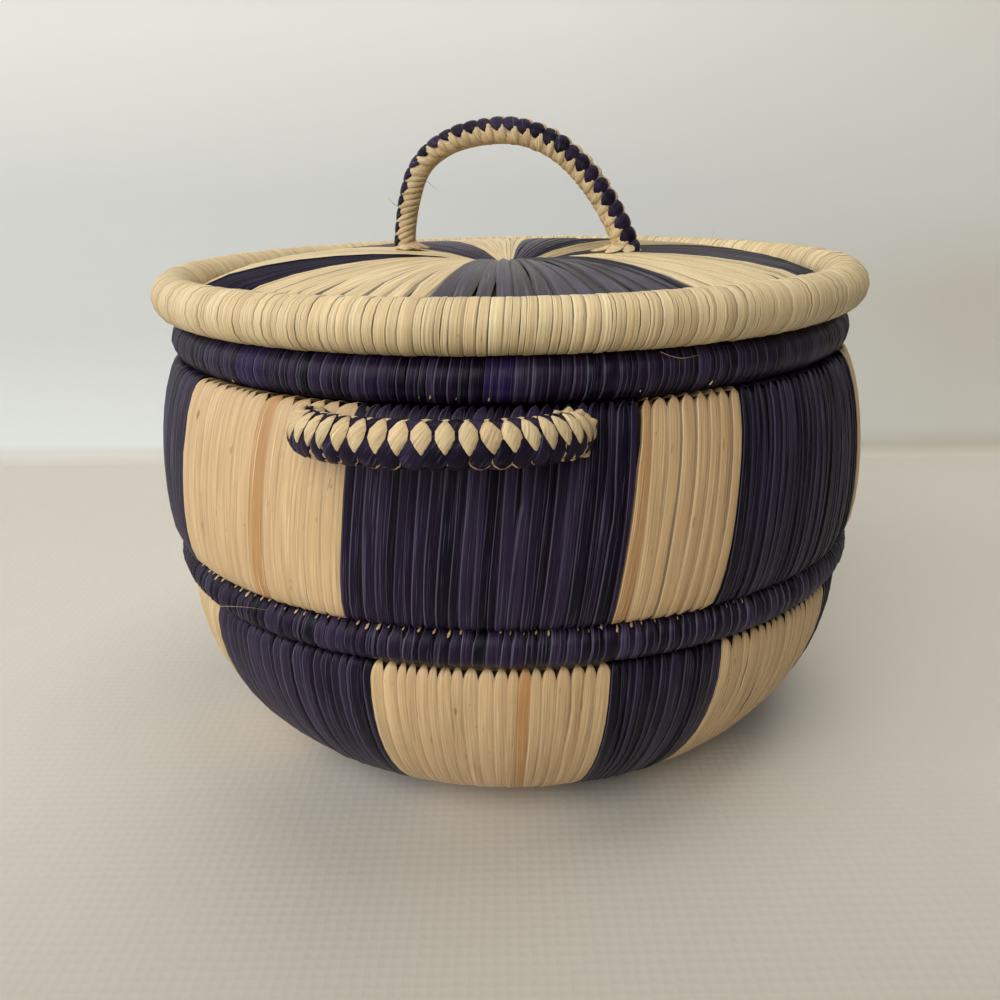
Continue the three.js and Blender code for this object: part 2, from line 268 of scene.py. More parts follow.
# Coils: how their strips are wound, how deep the strips lie and how far the locating coil stands from the rim
# in millimetres, and the azimuths of the rim coil's few violet turns
WINDINGS = {
    "mid_coil": Winding(204, 0.25, ROUND_TURN, 0.9),
    "rim_coil": Winding(250, 0.55),
    "lid_rim": Winding(300, 0.6),
    "lid_locating_coil": Winding(170, 0.3),
}
TURN_INSET = 0.1
LOCATING_GAP = 1.5
VIOLET_TURNS = ((-131.5, -125), (-91.5, -87.8))

# Base and knots: numbers of strips, how much thinner the base is made for its strips, and each knot's ring
# and section, in millimetres
BASE_STRIPS = 96
BASE_STRIP_ROOM = 0.9
KNOT_TURNS = 14
BASE_KNOT = (4.2, 2.9)
BASE_KNOT_HEIGHT = 4.5
LID_KNOT = (4.4, 3.0)

# How far the grass bundles lie inside their strips and the handles' inside their braids, in millimetres
BUNDLE_INSET = 2.6
HANDLE_BUNDLE_INSET = 0.9
THINNEST_BUNDLE = 1

# Pale stitches: the chance of one after each turn of the middle coil, and where they show under the rim coil
MID_STITCH = Stitch(54, 0.6, 1.5, 0.5)
RIM_STITCH = Stitch(-38, 0.3, 0.9, 0.0)
STITCH_CHANCE = (
    (0, 0.35), (180, 0.4), (210, 0.2), (216, 0.8), (225, 0.92), (262, 0.9), (285, 0.55), (300, 0.3),
    (360, 0.35),
)
RIM_STITCHES = (-102, -100.5, -97.2, -93)
HIDDEN_RIM_STITCHES = 8

# Side handles: half an ellipse standing out from the wall, in millimetres, and its azimuth in degrees
SIDE_ENDS = (-41, 37)
SIDE_REACH = 26.5
SIDE_RISE = 2.5
SIDE_DROP = 14.4
SIDE_FOOT_INSET = 2.6
SIDE_AZIMUTH = -98.5
SIDE_WEAVE = Weave(5.5, crowd=0.2, lean=(0.5, -0.05, -0.42), grain=(0.9, 1.4, 0.6))
SIDE_NATURAL = (
    Row(36, 0, 2.9, 5.3, 0.45, 0.0, 1.25), Row(-13, 0.5, 3.1, 6.0, -0.25, 0.5, 3.6),
    Row(-144, 0, 2.9, 5.4, -0.1, 0.2), Row(130, 0, 2.9, 4.4, -0.5, 0.2),
)
SIDE_PURPLE = (
    Row(-9, 0.5, 3.1, 5.6, 0.05, 0.5, 3.6), Row(-99, 0.5, 2.9, 5.4, -0.1, 0.2),
    Row(171, 0.5, 2.9, 5.4, -0.1, 0.2), Row(83, 0.5, 2.9, 5.2, -0.5, -0.2),
)
SIDE_FANS = (Fan("left", 11, 5.5, 4.6, 2.6, 2.0, 0.8), Fan("right", 11, 5.5, 4.6, 4.2, 2.0, 0.8))

# The lid handle's route in its own upright plane: along, and above the lid rim's middle, in millimetres
LID_HANDLE_ROUTE = (
    (-44.5, 5), (-44.4, 17), (-42, 30), (-36.8, 43), (-28.7, 50.3), (-17, 55), (1, 56.7),
    (13.6, 53.8), (25, 47.2), (34.7, 37.5), (43.5, 24), (49.4, 11), (51.5, 5),
)
LID_HANDLE_TURN = -18
LID_WEAVE = Weave(5.1, 0.5, swell=0.7, twist=(-12, -32, -46, -60, -38), girth=(0.8, 0.85, 1, 1, 1),
                  lean=(-1.2, -0.9, -0.6, -0.6, -0.6), grain=(-0.4, -0.4, -0.4))
LID_NATURAL = (
    Row(52, 0.5, 2.2, 4.0, 0.15, 0.0, 1.5), Row(-50, 0.0, 1.7, 4.0, 0.25, 0.0, 1.5, start=0.24),
    Row(95, 0.0, 2.4, 4.4, -0.3, 0.0, 2.0), Row(-97, 0.5, 2.4, 3.8, -0.35, 0.0, 2.0, start=0.24),
    Row(-72, 0.0, 1.3, 5.4, 0.2, 0.0, 2.4, 2.2, end=0.25),
    Row(-72, 0.5, 1.3, 5.4, 0.2, 0.0, 2.4, 2.2, end=0.25),
)
LID_PURPLE = (Row(0, 0.5, 2.8, 3.8, 0.45, 0.0, 2.8, 0.35),)
LID_FANS = (Fan("left", 8, 6.6, 2.6, 4.5, 2.9, 3.4, 0.5), Fan("right", 8, 6.6, 2.6, 8.5, 2.9, 3.4, -0.75))

# Loose fibres: body, slot, material, and a route given in millimetres, from its root to its tip
FIBRE_RADII = (0.10, 0.08, 0.02)
LOOSE_FIBRES = {
    "mid_coil": ("basket", "natural_strips", "natural_braid",
                 ((-108.3, -87, 78.6), (-100, -99, 83.9), (-91.4, -106.4, 86.7), (-83.4, -111.8, 88))),
    "handle_inner": ("lid", "purple_strips", "purple_braid",
                     ((-36, 12, 226), (-31.5, 10, 222), (-27, 9, 218.5))),
    "handle_outer": ("lid", "purple_strips", "purple_braid",
                     ((-45, 14, 213), (-47, 12, 214.5), (-49, 12, 217))),
    "lid_right": ("lid", "natural_strips", "natural_braid",
                  ((90.6, 41, 189), (91.1, 41, 193.7), (91.8, 41, 197.6), (93, 41, 201.8))),
    "lid_rim": ("basket", "natural_strips", "natural_braid",
                ((43.5, -126.5, 175.3), (46.6, -126.6, 174), (50.1, -125.8, 173.1), (55.5, -123.3, 173.4))),
}

# Camera: place in millimetres and turns in degrees
CAMERA_PLACE = (-2.4, -419.095, 227.504)
CAMERA_PITCH, CAMERA_ROLL, CAMERA_YAW = 18.376, -1.2191, -0.3986

# The floor's side, where its backdrop stands, the backdrop's height and crease, and its turn in degrees
STAGE_SIZE = 4
STAGE_DEPTH = 0.373
STAGE_HEIGHT = 2.2
STAGE_CREASE = 0.010
STAGE_TURN = -2

# The stage's colours, whose steps with height paint the light falling on the backdrop, and how far painted
# shade darkens and warms its right side, both by shares of the shaded height. Then where the floor turns to
# its painted shade near the camera, and where the right side's painted shade begins, in metres
SHADED_HEIGHT = 0.5
STAGE_SHADES = ((0.006, "floor"), (0.03, "backdrop_foot"), (0.22, "backdrop"), (0.42, "backdrop"),
                (0.66, "backdrop_high"))
BACKDROP_RIGHT_SHADE = ((0.001, 0.0), (0.005, 1.0), (0.02, 0.9), (0.05, 0.6), (0.26, 0.75), (0.41, 0.2), (0.66, 0.4))
NEAR_FLOOR_SHADE = (-0.08, -0.28)
RIGHT_SHADE_SIDE = (0.05, 0.35)
STAGE_ROUGHNESS = 0.6
DIMPLES = 260
DIMPLE_STRENGTH = 0.36

# Round lamps: name, place, target and size in metres, power in watts, and colour
LAMPS = (
    ("key_lamp", (-4.2, -1.6, 2.0), (0, 0, 0.1), 4.4, 80, (0.97, 0.98, 1.0)),
    ("front_lamp", (-0.9, -2.6, 2.1), (0, 0, 0.1), 2.6, 68, (1.0, 0.97, 0.9)),
    ("top_lamp", (0.45, 0.05, 2.2), (0.1, 0.05, 0), 1.3, 17.5, (1.0, 0.97, 0.9)),
)

# The room's light: its colour, and its strength on the right and on the left, where its windows are
ROOM_SHADE = (0.98, 0.97, 0.94)
ROOM_LIGHT = (0.02, 0.88)


def length(label, default, note=""):
    """A size that a user can change; its default is given in millimetres."""
    return bpy.props.FloatProperty(name=label, description=note or label, default=default * MM,
                                   min=0, unit="LENGTH", precision=4)


def colour(label, default, note=""):
    """A colour that a user can change."""
    return bpy.props.FloatVectorProperty(name=label, description=note or label, default=default,
                                         size=3, min=0, max=1, subtype="COLOR")


class BasketSizes(bpy.types.PropertyGroup):
    """Sizes of the basket: the frame's, but the middle coil and the lid's edge follow the photo."""
    rim_ring: length("Rim ring", 126.4, "Radius from the axis to the middle of the rim coil")
    rim_coil: length("Rim coil", 8, "Radius of the rim coil's section")
    rim_height: length("Rim height", 168.4, "Height of the rim coil's middle")
    mid_ring: length("Middle ring", 132.3, "Radius from the axis to the middle of the middle coil")
    mid_coil: length("Middle coil", 7.6, "Radius of the middle coil's section")
    mid_height: length("Middle height", 83.9, "Height of the middle coil's middle, as the photo shows it")
    upper_thickness: length("Upper wall thickness", 13.4)
    upper_foot: length("Upper wall foot", 134.6, "Radius at the upper wall's foot")
    upper_head: length("Upper wall head", 128.6, "Radius at the upper wall's head")
    upper_bow: length("Upper wall bow", 7.4, "How far the upper wall's line is pulled outwards")
    lower_thickness: length("Lower wall thickness", 12)
    lower_centre: length("Lower wall centre", 68, "Radius where the lower wall's ellipse has its centre")
    lower_drop: length("Lower wall drop", 76, "Height of the lower wall's ellipse")
    base_radius: length("Base radius", 75.3)
    base_height: length("Base height", 11)
    knot_radius: length("Knot radius", 7.7)
    lid_ring: length("Lid rim ring", 131.5, "Radius from the axis to the middle of the lid's rim")
    lid_coil: length("Lid rim coil", 8.5, "Radius of the lid rim's section")
    lid_thickness: length("Lid thickness", 13)
    lid_crown: length("Lid crown", 11.9, "How far the lid's line is pulled upwards")
    lid_edge_drop: length("Lid edge drop", 2.8, "How far the lid's edge lies below the middle of its rim")
    lid_hole: length("Lid dimple", 8, "Radius of the dimple in the middle of the lid")
    locating_coil: length("Locating coil", 5, "Radius of the section of the coil under the lid")
    side_handle: length("Side handle", 6.6, "Radius of the side handles' section")
    lid_handle: length("Lid handle", 5.3, "Radius of the lid handle's section")
    touch_gap: length("Touch gap", 0.3, "Room between pieces that touch")


class BasketColours(bpy.types.PropertyGroup):
    """Colours of the strips and of the stage."""
    straw: colour("Straw", (0.76, 0.53, 0.285), "Undyed strips at their palest")
    straw_light: colour("Pale straw", (0.84, 0.66, 0.40), "Light fibres in undyed strips")
    lid_straw: colour("Lid straw", (0.82, 0.655, 0.375), "Undyed strips of the lid, yellower than the walls'")
    lid_light: colour("Pale lid straw", (0.90, 0.76, 0.50), "Light fibres in the lid's undyed strips")
    braid_straw: colour("Braid straw", (0.72, 0.56, 0.32), "Undyed strips of the handles and stitches")
    tan: colour("Tan", (0.54, 0.33, 0.15), "Undyed strips at their darkest")
    rust: colour("Rust", (0.58, 0.30, 0.11), "The few orange-brown strips")
    ink: colour("Ink", (0.003, 0.0025, 0.011), "Dyed strips at their darkest")
    aubergine: colour("Aubergine", (0.015, 0.007, 0.028), "Most dyed strips")
    mauve: colour("Mauve", (0.034, 0.022, 0.058), "Dyed strips at their lightest")
    violet: colour("Violet", (0.020, 0.010, 0.062), "The few violet strips")
    # Painted sheen in part: the pale fibre streaks of dyed strips, and their painted edge highlight where no
    # paler one is given
    violet_sheen: colour("Pale violet", (0.085, 0.075, 0.130), "Light fibres in dyed strips")
    # Painted highlight along the raised, folded edges of dyed strips
    violet_edge_highlight: colour("Violet edge", (0.150, 0.135, 0.210), "Folded edges of dyed strips")
    # Painted shade: the stems are nearly black, as the shadow in the gaps where they show between strips
    grass: colour("Grass", (0.045, 0.030, 0.018), "Stems inside the bundles, in their own shade")
    floor: colour("Floor", (0.585, 0.557, 0.503))
    # Painted shade: the floor's darker tone towards the camera
    floor_near_shade: colour("Near floor", (0.42, 0.386, 0.335), "The floor's tone towards the camera")
    # Painted shade: the backdrop's darker, warmer tone on the right and in its crease there
    backdrop_right_shade: colour("Beige backdrop", (0.52, 0.49, 0.42), "The backdrop's tone on the right")
    # Painted light: the backdrop is palest at its foot, darker behind the lid and pale again above the handle
    backdrop_foot: colour("Backdrop's foot", (0.76, 0.81, 0.82))
    backdrop: colour("Backdrop", (0.65, 0.675, 0.685), "Backdrop behind the lid")
    backdrop_high: colour("Upper backdrop", (0.80, 0.81, 0.81), "Backdrop above the handle")


def sizes():
    return bpy.context.scene.basket_sizes


def colours():
    return bpy.context.scene.basket_colours


# Lines and outlines, in (radius, height)


def bezier(start, control, end):
    t = np.linspace(0, 1, FINE_POINTS)[:, None]
    return (1 - t) ** 2 * start + 2 * t * (1 - t) * control + t ** 2 * end


def along_line(line, share):
    """Points and unit tangents at shares of a line's length."""
    steps = np.hypot(*np.diff(line, axis=0).T)
    run = np.concatenate([[0], np.cumsum(steps)]) / steps.sum()
    tangents = np.gradient(line, run, axis=0)
    tangents /= np.linalg.norm(tangents, axis=1)[:, None]
    pick = lambda table: np.stack([np.interp(share, run, column) for column in table.T], axis=1)
    return pick(line), pick(tangents)


class Outline:
    """A closed line round a bundle: its points, their outward directions, their stations and runs.

    A station goes from -1 where the bundle starts, or a coil has its foot, to 1 at the other end. A run is
    how far along the closed line a point is."""

    def __init__(self, points, station, count, head_weight=0):
        closed = np.vstack([points, points[:1]])
        steps = np.diff(closed, axis=0)
        headings = np.arctan2(steps[:, 1], steps[:, 0])
        bends = np.abs((np.roll(headings, -1) - headings + np.pi) % FULL_TURN - np.pi)
        lengths = np.hypot(*steps.T)
        crowded = 1 + head_weight * ((station + np.roll(station, -1)) / 2 > HEAD_ZONE)
        measure = np.concatenate([[0], np.cumsum(lengths * crowded + TURN_WEIGHT * bends)])
        wanted = np.linspace(0, measure[-1], count, endpoint=False)
        pick = lambda column: np.interp(wanted, measure, np.append(column, column[0]))
        self.place = np.stack([pick(points[:, 0]), pick(points[:, 1])], axis=1)
        ahead = np.roll(self.place, -1, axis=0) - np.roll(self.place, 1, axis=0)
        ahead /= np.linalg.norm(ahead, axis=1)[:, None]
        self.out = np.stack([ahead[:, 1], -ahead[:, 0]], axis=1)
        self.station = pick(station)
        self.run = np.interp(wanted, measure, np.concatenate([[0], np.cumsum(lengths)]))


def band(line, thickness, inset, count):
    """The outline of a flat bundle with round ends along a line."""
    turn = np.linspace(-math.pi / 2, 1.5 * math.pi, FINE_POINTS, endpoint=False)
    power = 2 / BAND_SQUARENESS
    station = np.sign(np.sin(turn)) * np.abs(np.sin(turn)) ** power
    side = np.sign(np.cos(turn)) * np.abs(np.cos(turn)) ** power
    whole = np.hypot(*np.diff(line, axis=0).T).sum()
    middle, tangent = along_line(line, 0.5 + station * (0.5 - inset / whole))
    offset = side * (thickness / 2 - inset)
    points = middle + np.stack([tangent[:, 1], -tangent[:, 0]], axis=1) * offset[:, None]
    return Outline(points, station, count, HEAD_WEIGHT)


def circle(ring, coil, height, count):
    """The outline of a round coil."""
    turn = np.linspace(math.pi, math.pi + FULL_TURN, FINE_POINTS, endpoint=False)
    points = np.stack([ring + coil * np.cos(turn), height + coil * np.sin(turn)], axis=1)
    return Outline(points, np.sin(turn), count)


def rim_seat_height():
    """Height of the lid rim's middle, where it rests on the rim coil."""
    s = sizes()
    reach = s.rim_coil + s.lid_coil + s.touch_gap
    return s.rim_height + math.sqrt(reach ** 2 - (s.lid_ring - s.rim_ring) ** 2)


def upper_wall_line():
    s = sizes()
    reach = s.mid_coil + s.touch_gap
    foot = np.array((s.upper_foot, s.mid_height + math.sqrt(reach ** 2 - (s.upper_foot - s.mid_ring) ** 2)))
    reach = s.rim_coil + s.touch_gap
    head = np.array((s.upper_head, s.rim_height - math.sqrt(reach ** 2 - (s.upper_head - s.rim_ring) ** 2)))
    return bezier(foot, (foot + head) / 2 + (s.upper_bow, 0), head)


def lower_wall_line():
    s = sizes()
    focus = s.lower_drop + s.lower_thickness / 2
    bulge = s.mid_ring - s.touch_gap - s.lower_centre
    top = math.asin((focus - (s.mid_height - s.mid_coil - s.touch_gap)) / s.lower_drop)
    bottom = math.acos((s.base_radius + s.touch_gap - s.lower_centre) / bulge)
    turn = np.linspace(-bottom, -top, FINE_POINTS)
    return np.stack([s.lower_centre + bulge * np.cos(turn), focus + s.lower_drop * np.sin(turn)], axis=1)


def lid_line():
    s = sizes()
    height = rim_seat_height()
    edge = np.array((s.lid_ring - s.lid_coil - s.touch_gap, height - s.lid_edge_drop))
    hole = np.array((s.lid_hole, height))
    return bezier(edge, (edge + hole) / 2 + (0, s.lid_crown), hole)


def base_line():
    s = sizes()
    middle = s.base_height / 2
    return np.linspace((s.base_radius, middle), (s.knot_radius + s.touch_gap, middle), FINE_POINTS)


# Meshes: a closed strip is added as a ring, copied, and laid along its bundle


def nothing_selected():
    bpy.ops.object.select_all(action="DESELECT")


def finish_piece(obj, name, body, nodes=(), smooth_angle=42):
    """Names a piece, smooths it, ties it to its body, and hides the frame's nodes that it stands for."""
    obj.name = obj.data.name = name
    nothing_selected()
    obj.select_set(True)
    bpy.context.view_layer.objects.active = obj
    bpy.ops.object.shade_smooth_by_angle(angle=math.radians(smooth_angle))
    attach(obj, body)
    if nodes:
        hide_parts(*nodes)


def copied(obj, copies):
    """Joins copies of a mesh to it, all in its own place."""
    if copies > 1:
        array = obj.modifiers.new("copies", "ARRAY")
        array.use_relative_offset = False
        array.count = copies
        bpy.ops.object.modifier_apply(modifier=array.name)
    return obj


def closed_strips(copies, stations, section):
    """Copies of one closed strip: its vertices run by copy, then station, then section corner."""
    nothing_selected()
    bpy.ops.mesh.primitive_torus_add(major_segments=stations, minor_segments=section,
                                     major_radius=1, minor_radius=0.1, generate_uvs=True)
    return copied(bpy.context.object, copies)


def set_places(obj, places):
    obj.data.vertices.foreach_set("co", np.ascontiguousarray(places, np.float32).ravel())
    obj.data.update()


def set_value(obj, name, values):
    """A number on every vertex, which a material reads by its name."""
    attribute = obj.data.attributes.new(name, "FLOAT", "POINT")
    attribute.data.foreach_set("value", np.ascontiguousarray(values, np.float32).ravel())


def stretch_uv(obj, along):
    """Stretches the strip's own map so that one unit along it is one centimetre."""
    layer = obj.data.uv_layers.active.data
    values = np.empty(len(layer) * 2, np.float32)
    layer.foreach_get("uv", values)
    values[::2] *= along / CM
    layer.foreach_set("uv", values)


def lay_fibres(obj, along, across):
    """Sets the fibres' map from two numbers on every vertex, in centimetres along and in widths across."""
    corner = np.empty(len(obj.data.loops), np.int32)
    obj.data.loops.foreach_get("vertex_index", corner)
    values = np.stack([along.ravel()[corner], across.ravel()[corner]], axis=1)
    obj.data.uv_layers.active.data.foreach_set("uv", values.astype(np.float32).ravel())


def round_places(radius, height, azimuth):
    level = height * np.ones_like(azimuth)
    return np.stack([radius * np.cos(azimuth), radius * np.sin(azimuth), level], axis=-1)


def shares(rng, count, spread):
    """Borders from 0 to 1 of pieces with slightly different widths."""
    widths = 1 + spread * rng.uniform(-1, 1, count)
    return np.concatenate([[0], np.cumsum(widths)]) / widths.sum()


def ease(value, start, end):
    t = np.clip((value - start) / (end - start), 0, 1)
    return t * t * (3 - 2 * t)


def rounding(value, start, end):
    """Falls off like a round shoulder between two values."""
    t = np.clip((value - start) / (end - start), 0, 1)
    return 1 - np.sqrt(1 - t * t)


def strips(outline, from_deg, to_deg, count, rng, section=SHINGLE, relief=1.0, lean=((0, 0.0),), spread=0.2,
           least_width=0.0, head=(0.6, 1.0, 1.0), foot=(0.6, 1.0), fin=0.0, slits=0.0, slit_at=(0.1, 0.8),
           slit_long=(0.15, 0.35), fold=0.5, tones=None, wobble=0.25):
    """Strips laid side by side round a bundle, each a closed loop with one raised edge.

    Lean gives, for azimuths in degrees, how far the strips' heads stand to the right in millimetres. The head
    and the foot give the station where the strips start to narrow and the share that is left at the end, and
    the head also where its round shoulder ends; with a fin of 1 a narrowing strip keeps its right edge. Slits
    is the share of strips that part from their neighbour for a stretch, and fold how strongly the
    painted highlights and shadows at their folded edges show."""
    stations = len(outline.place)
    section = np.array(section)
    obj = closed_strips(count, stations, len(section))
    borders = math.radians(from_deg) + math.radians(to_deg - from_deg) * shares(rng, count, spread)
    middles, widths = (borders[1:] + borders[:-1]) / 2, np.diff(borders)
    heads = np.interp((np.degrees(middles) + 180) % 360 - 180, *zip(*lean))[:, None] * MM
    draw = lambda low, high: rng.uniform(low, high, count)[:, None]
    station, radius = outline.station[None, :], outline.place[None, :, 0]
    drawn = (1 - head[1]) * rounding(station, head[0] + draw(-0.01, 0.01), head[2])
    waist = 1 - drawn - (1 - foot[1]) * ease(-station, foot[0], 1)
    parting = 1 - ((station - draw(*slit_at)) / draw(*slit_long)) ** 2
    waist -= SLIT_DEPTH * np.clip(parting, 0, 1) * (draw(0, 1) < slits)
    full = widths[:, None] * radius
    width = np.maximum(full, least_width) * waist
    shift = (heads * station * radius / radius.max() * (1 + draw(-0.1, 0.1)) + fin * drawn * full / 2
             + wobble * MM * np.sin(draw(1.5, 4.0) * station + draw(0, FULL_TURN)) * (1 - station ** 2))
    rise = (draw(-LIFT, LIFT) + 0.5 * LIFT * np.sin(draw(1, 3) * station + draw(0, FULL_TURN))) * MM
    heights = np.where(section[:, 1] > 0, section[:, 1] * relief, section[:, 1]) * MM
    across = section[:, 0] * width[..., None] + shift[..., None]
    up = heights * (1 + draw(-0.5, 0.5))[..., None] + rise[..., None]
    reach = outline.place[:, 0][None, :, None] + outline.out[:, 0][None, :, None] * up
    height = outline.place[:, 1][None, :, None] + outline.out[:, 1][None, :, None] * up
    azimuth = middles[:, None, None] + across / np.maximum(reach, LEAST_REACH * MM)
    set_places(obj, round_places(reach, height, azimuth))
    tones = rng.uniform(*TONES, count) if tones is None else tones
    set_value(obj, "strip", np.repeat(tones, stations * len(section)))
    # How strongly each strip shows its painted edge highlight and crease shadow
    set_value(obj, "fold", np.repeat(fold * rng.uniform(0.5, 1.2, count), stations * len(section)))
    shape = (count, stations, len(section))
    lay_fibres(obj, np.broadcast_to(outline.run[None, :, None] / CM, shape),
               np.broadcast_to(section[:, 0] + 0.5, shape))
    return obj


def stem_bundle(outline, ripples=3, depth=0.35, segments=96):
    """The grass stems inside a bundle: a ring with a rippled section, laid along the outline."""
    corners = len(outline.place)
    obj = closed_strips(1, segments, corners)
    # The primitive's section turns the other way round its ring, so the outline is taken backwards
    place, out = outline.place[::-1], outline.out[::-1]
    azimuth = np.arange(segments) / segments * FULL_TURN
    ripple = depth * MM * np.sin(np.arange(corners) * FULL_TURN / ripples)[None, :]
    ripple = ripple * (0.6 + 0.4 * np.cos(azimuth * 9)[:, None])
    reach = place[:, 0] + out[:, 0] * ripple
    level = place[:, 1] + out[:, 1] * ripple
    set_places(obj, round_places(reach, level, -azimuth[:, None] + 0 * reach))
    set_value(obj, "strip", np.full(segments * corners, 0.5))
    stretch_uv(obj, FULL_TURN * outline.place[:, 0].max())
    return obj


# Materials


def new_group(name, inputs, outputs):
    """A node group whose inputs and outputs are numbers."""
    tree = bpy.data.node_groups.new(name, "ShaderNodeTree")
    for label, default in inputs:
        socket = tree.interface.new_socket(name=label, in_out="INPUT", socket_type="NodeSocketFloat")
        socket.default_value = default
    for label in outputs:
        tree.interface.new_socket(name=label, in_out="OUTPUT", socket_type="NodeSocketFloat")
    return tree, tree.nodes.new("NodeGroupInput"), tree.nodes.new("NodeGroupOutput")


def node(tree, kind, **settings):
    """A node with its settings, and its inputs where a setting's name is a socket's."""
    made = tree.nodes.new(kind)
    for key, value in settings.items():
        if key in made.inputs:
            made.inputs[key].default_value = value
        else:
            setattr(made, key, value)
    return made


def math_node(tree, operation, first, second):
    made = node(tree, "ShaderNodeMath", operation=operation)
    for socket, value in zip(made.inputs, (first, second)):
        if isinstance(value, (int, float)):
            socket.default_value = value
        else:
            tree.links.new(value, socket)
    return made.outputs[0]


def new_material(name):
    """A material, its tree and its shader."""
    made = bpy.data.materials.new(name)
    made.use_nodes = True
    return made, made.node_tree, made.node_tree.nodes["Principled BSDF"]


def axes(tree, kind, label):
    """The three numbers of a node's output."""
    split = node(tree, "ShaderNodeSeparateXYZ")
    tree.links.new(node(tree, kind).outputs[label], split.inputs[0])
    return split.outputs


def bump(tree, height, shader, strength):
    """Fine relief on a surface; a strength may be a number or a node's output."""
    relief = node(tree, "ShaderNodeBump", Distance=FINE_RELIEF)
    tree.links.new(height, relief.inputs["Height"])
    if isinstance(strength, float):
        relief.inputs["Strength"].default_value = strength
    else:
        tree.links.new(strength, relief.inputs["Strength"])
    tree.links.new(relief.outputs["Normal"], shader.inputs["Normal"])


def fibre_group():
    """Fine lines along a strip, a slow change of tone, small specks, and a few soft blots."""
    tree, given, result = new_group("strip_fibres", (("Across", 26.0), ("Along", 1.2), ("Strip", 0.5)),
                                    ("Fibre", "Patch", "Speck", "Blot"))
    run, width, _ = axes(tree, "ShaderNodeUVMap", "UV")
    offset = math_node(tree, "MULTIPLY", given.outputs["Strip"], 397.0)

    def noise(along, across, detail, label):
        place = node(tree, "ShaderNodeCombineXYZ")
        tree.links.new(along, place.inputs[0])
        tree.links.new(across, place.inputs[1])
        tree.links.new(offset, place.inputs[2])
        made = node(tree, "ShaderNodeTexNoise", Scale=1.0, Detail=detail, Roughness=0.6)
        tree.links.new(place.outputs[0], made.inputs["Vector"])
        tree.links.new(made.outputs["Fac"], result.inputs[label])

    times = lambda value, factor: math_node(tree, "MULTIPLY", value, factor)
    along = times(run, given.outputs["Along"])
    across = times(width, given.outputs["Across"])
    noise(along, across, 3.0, "Fibre")
    noise(times(along, 0.7), times(width, 1.5), 2.0, "Patch")
    noise(times(along, 9.0), times(across, 0.5), 1.0, "Speck")
    noise(times(along, 4.5), times(width, 1.6), 0.0, "Blot")


def ramp(tree, stops, value):
    made = node(tree, "ShaderNodeValToRGB")
    elements = made.color_ramp.elements
    while len(elements) < len(stops):
        elements.new(0.5)
    for element, (place, shade) in zip(elements, stops):
        element.position = place
        element.color = (*shade, 1) if hasattr(shade, "__len__") else (shade, shade, shade, 1)
    tree.links.new(value, made.inputs["Fac"])
    return made.outputs["Color"]


def stretch(tree, value, low, high, least=0.0, most=1.0):
    """A value taken from one range to another and kept inside it."""
    made = node(tree, "ShaderNodeMapRange")
    for key, number in (("From Min", low), ("From Max", high), ("To Min", least), ("To Max", most)):
        made.inputs[key].default_value = number
    tree.links.new(value, made.inputs["Value"])
    return made.outputs["Result"]


def mix(tree, blend, factor, first, second):
    made = node(tree, "ShaderNodeMix", data_type="RGBA", blend_type=blend)
    for label, value in (("Factor", factor), ("A", first), ("B", second)):
        socket = made.inputs[label]
        if isinstance(value, (int, float)):
            socket.default_value = value
        elif isinstance(value, tuple):
            socket.default_value = (*value, 1)
        else:
            tree.links.new(value, socket)
    return made.outputs["Result"]


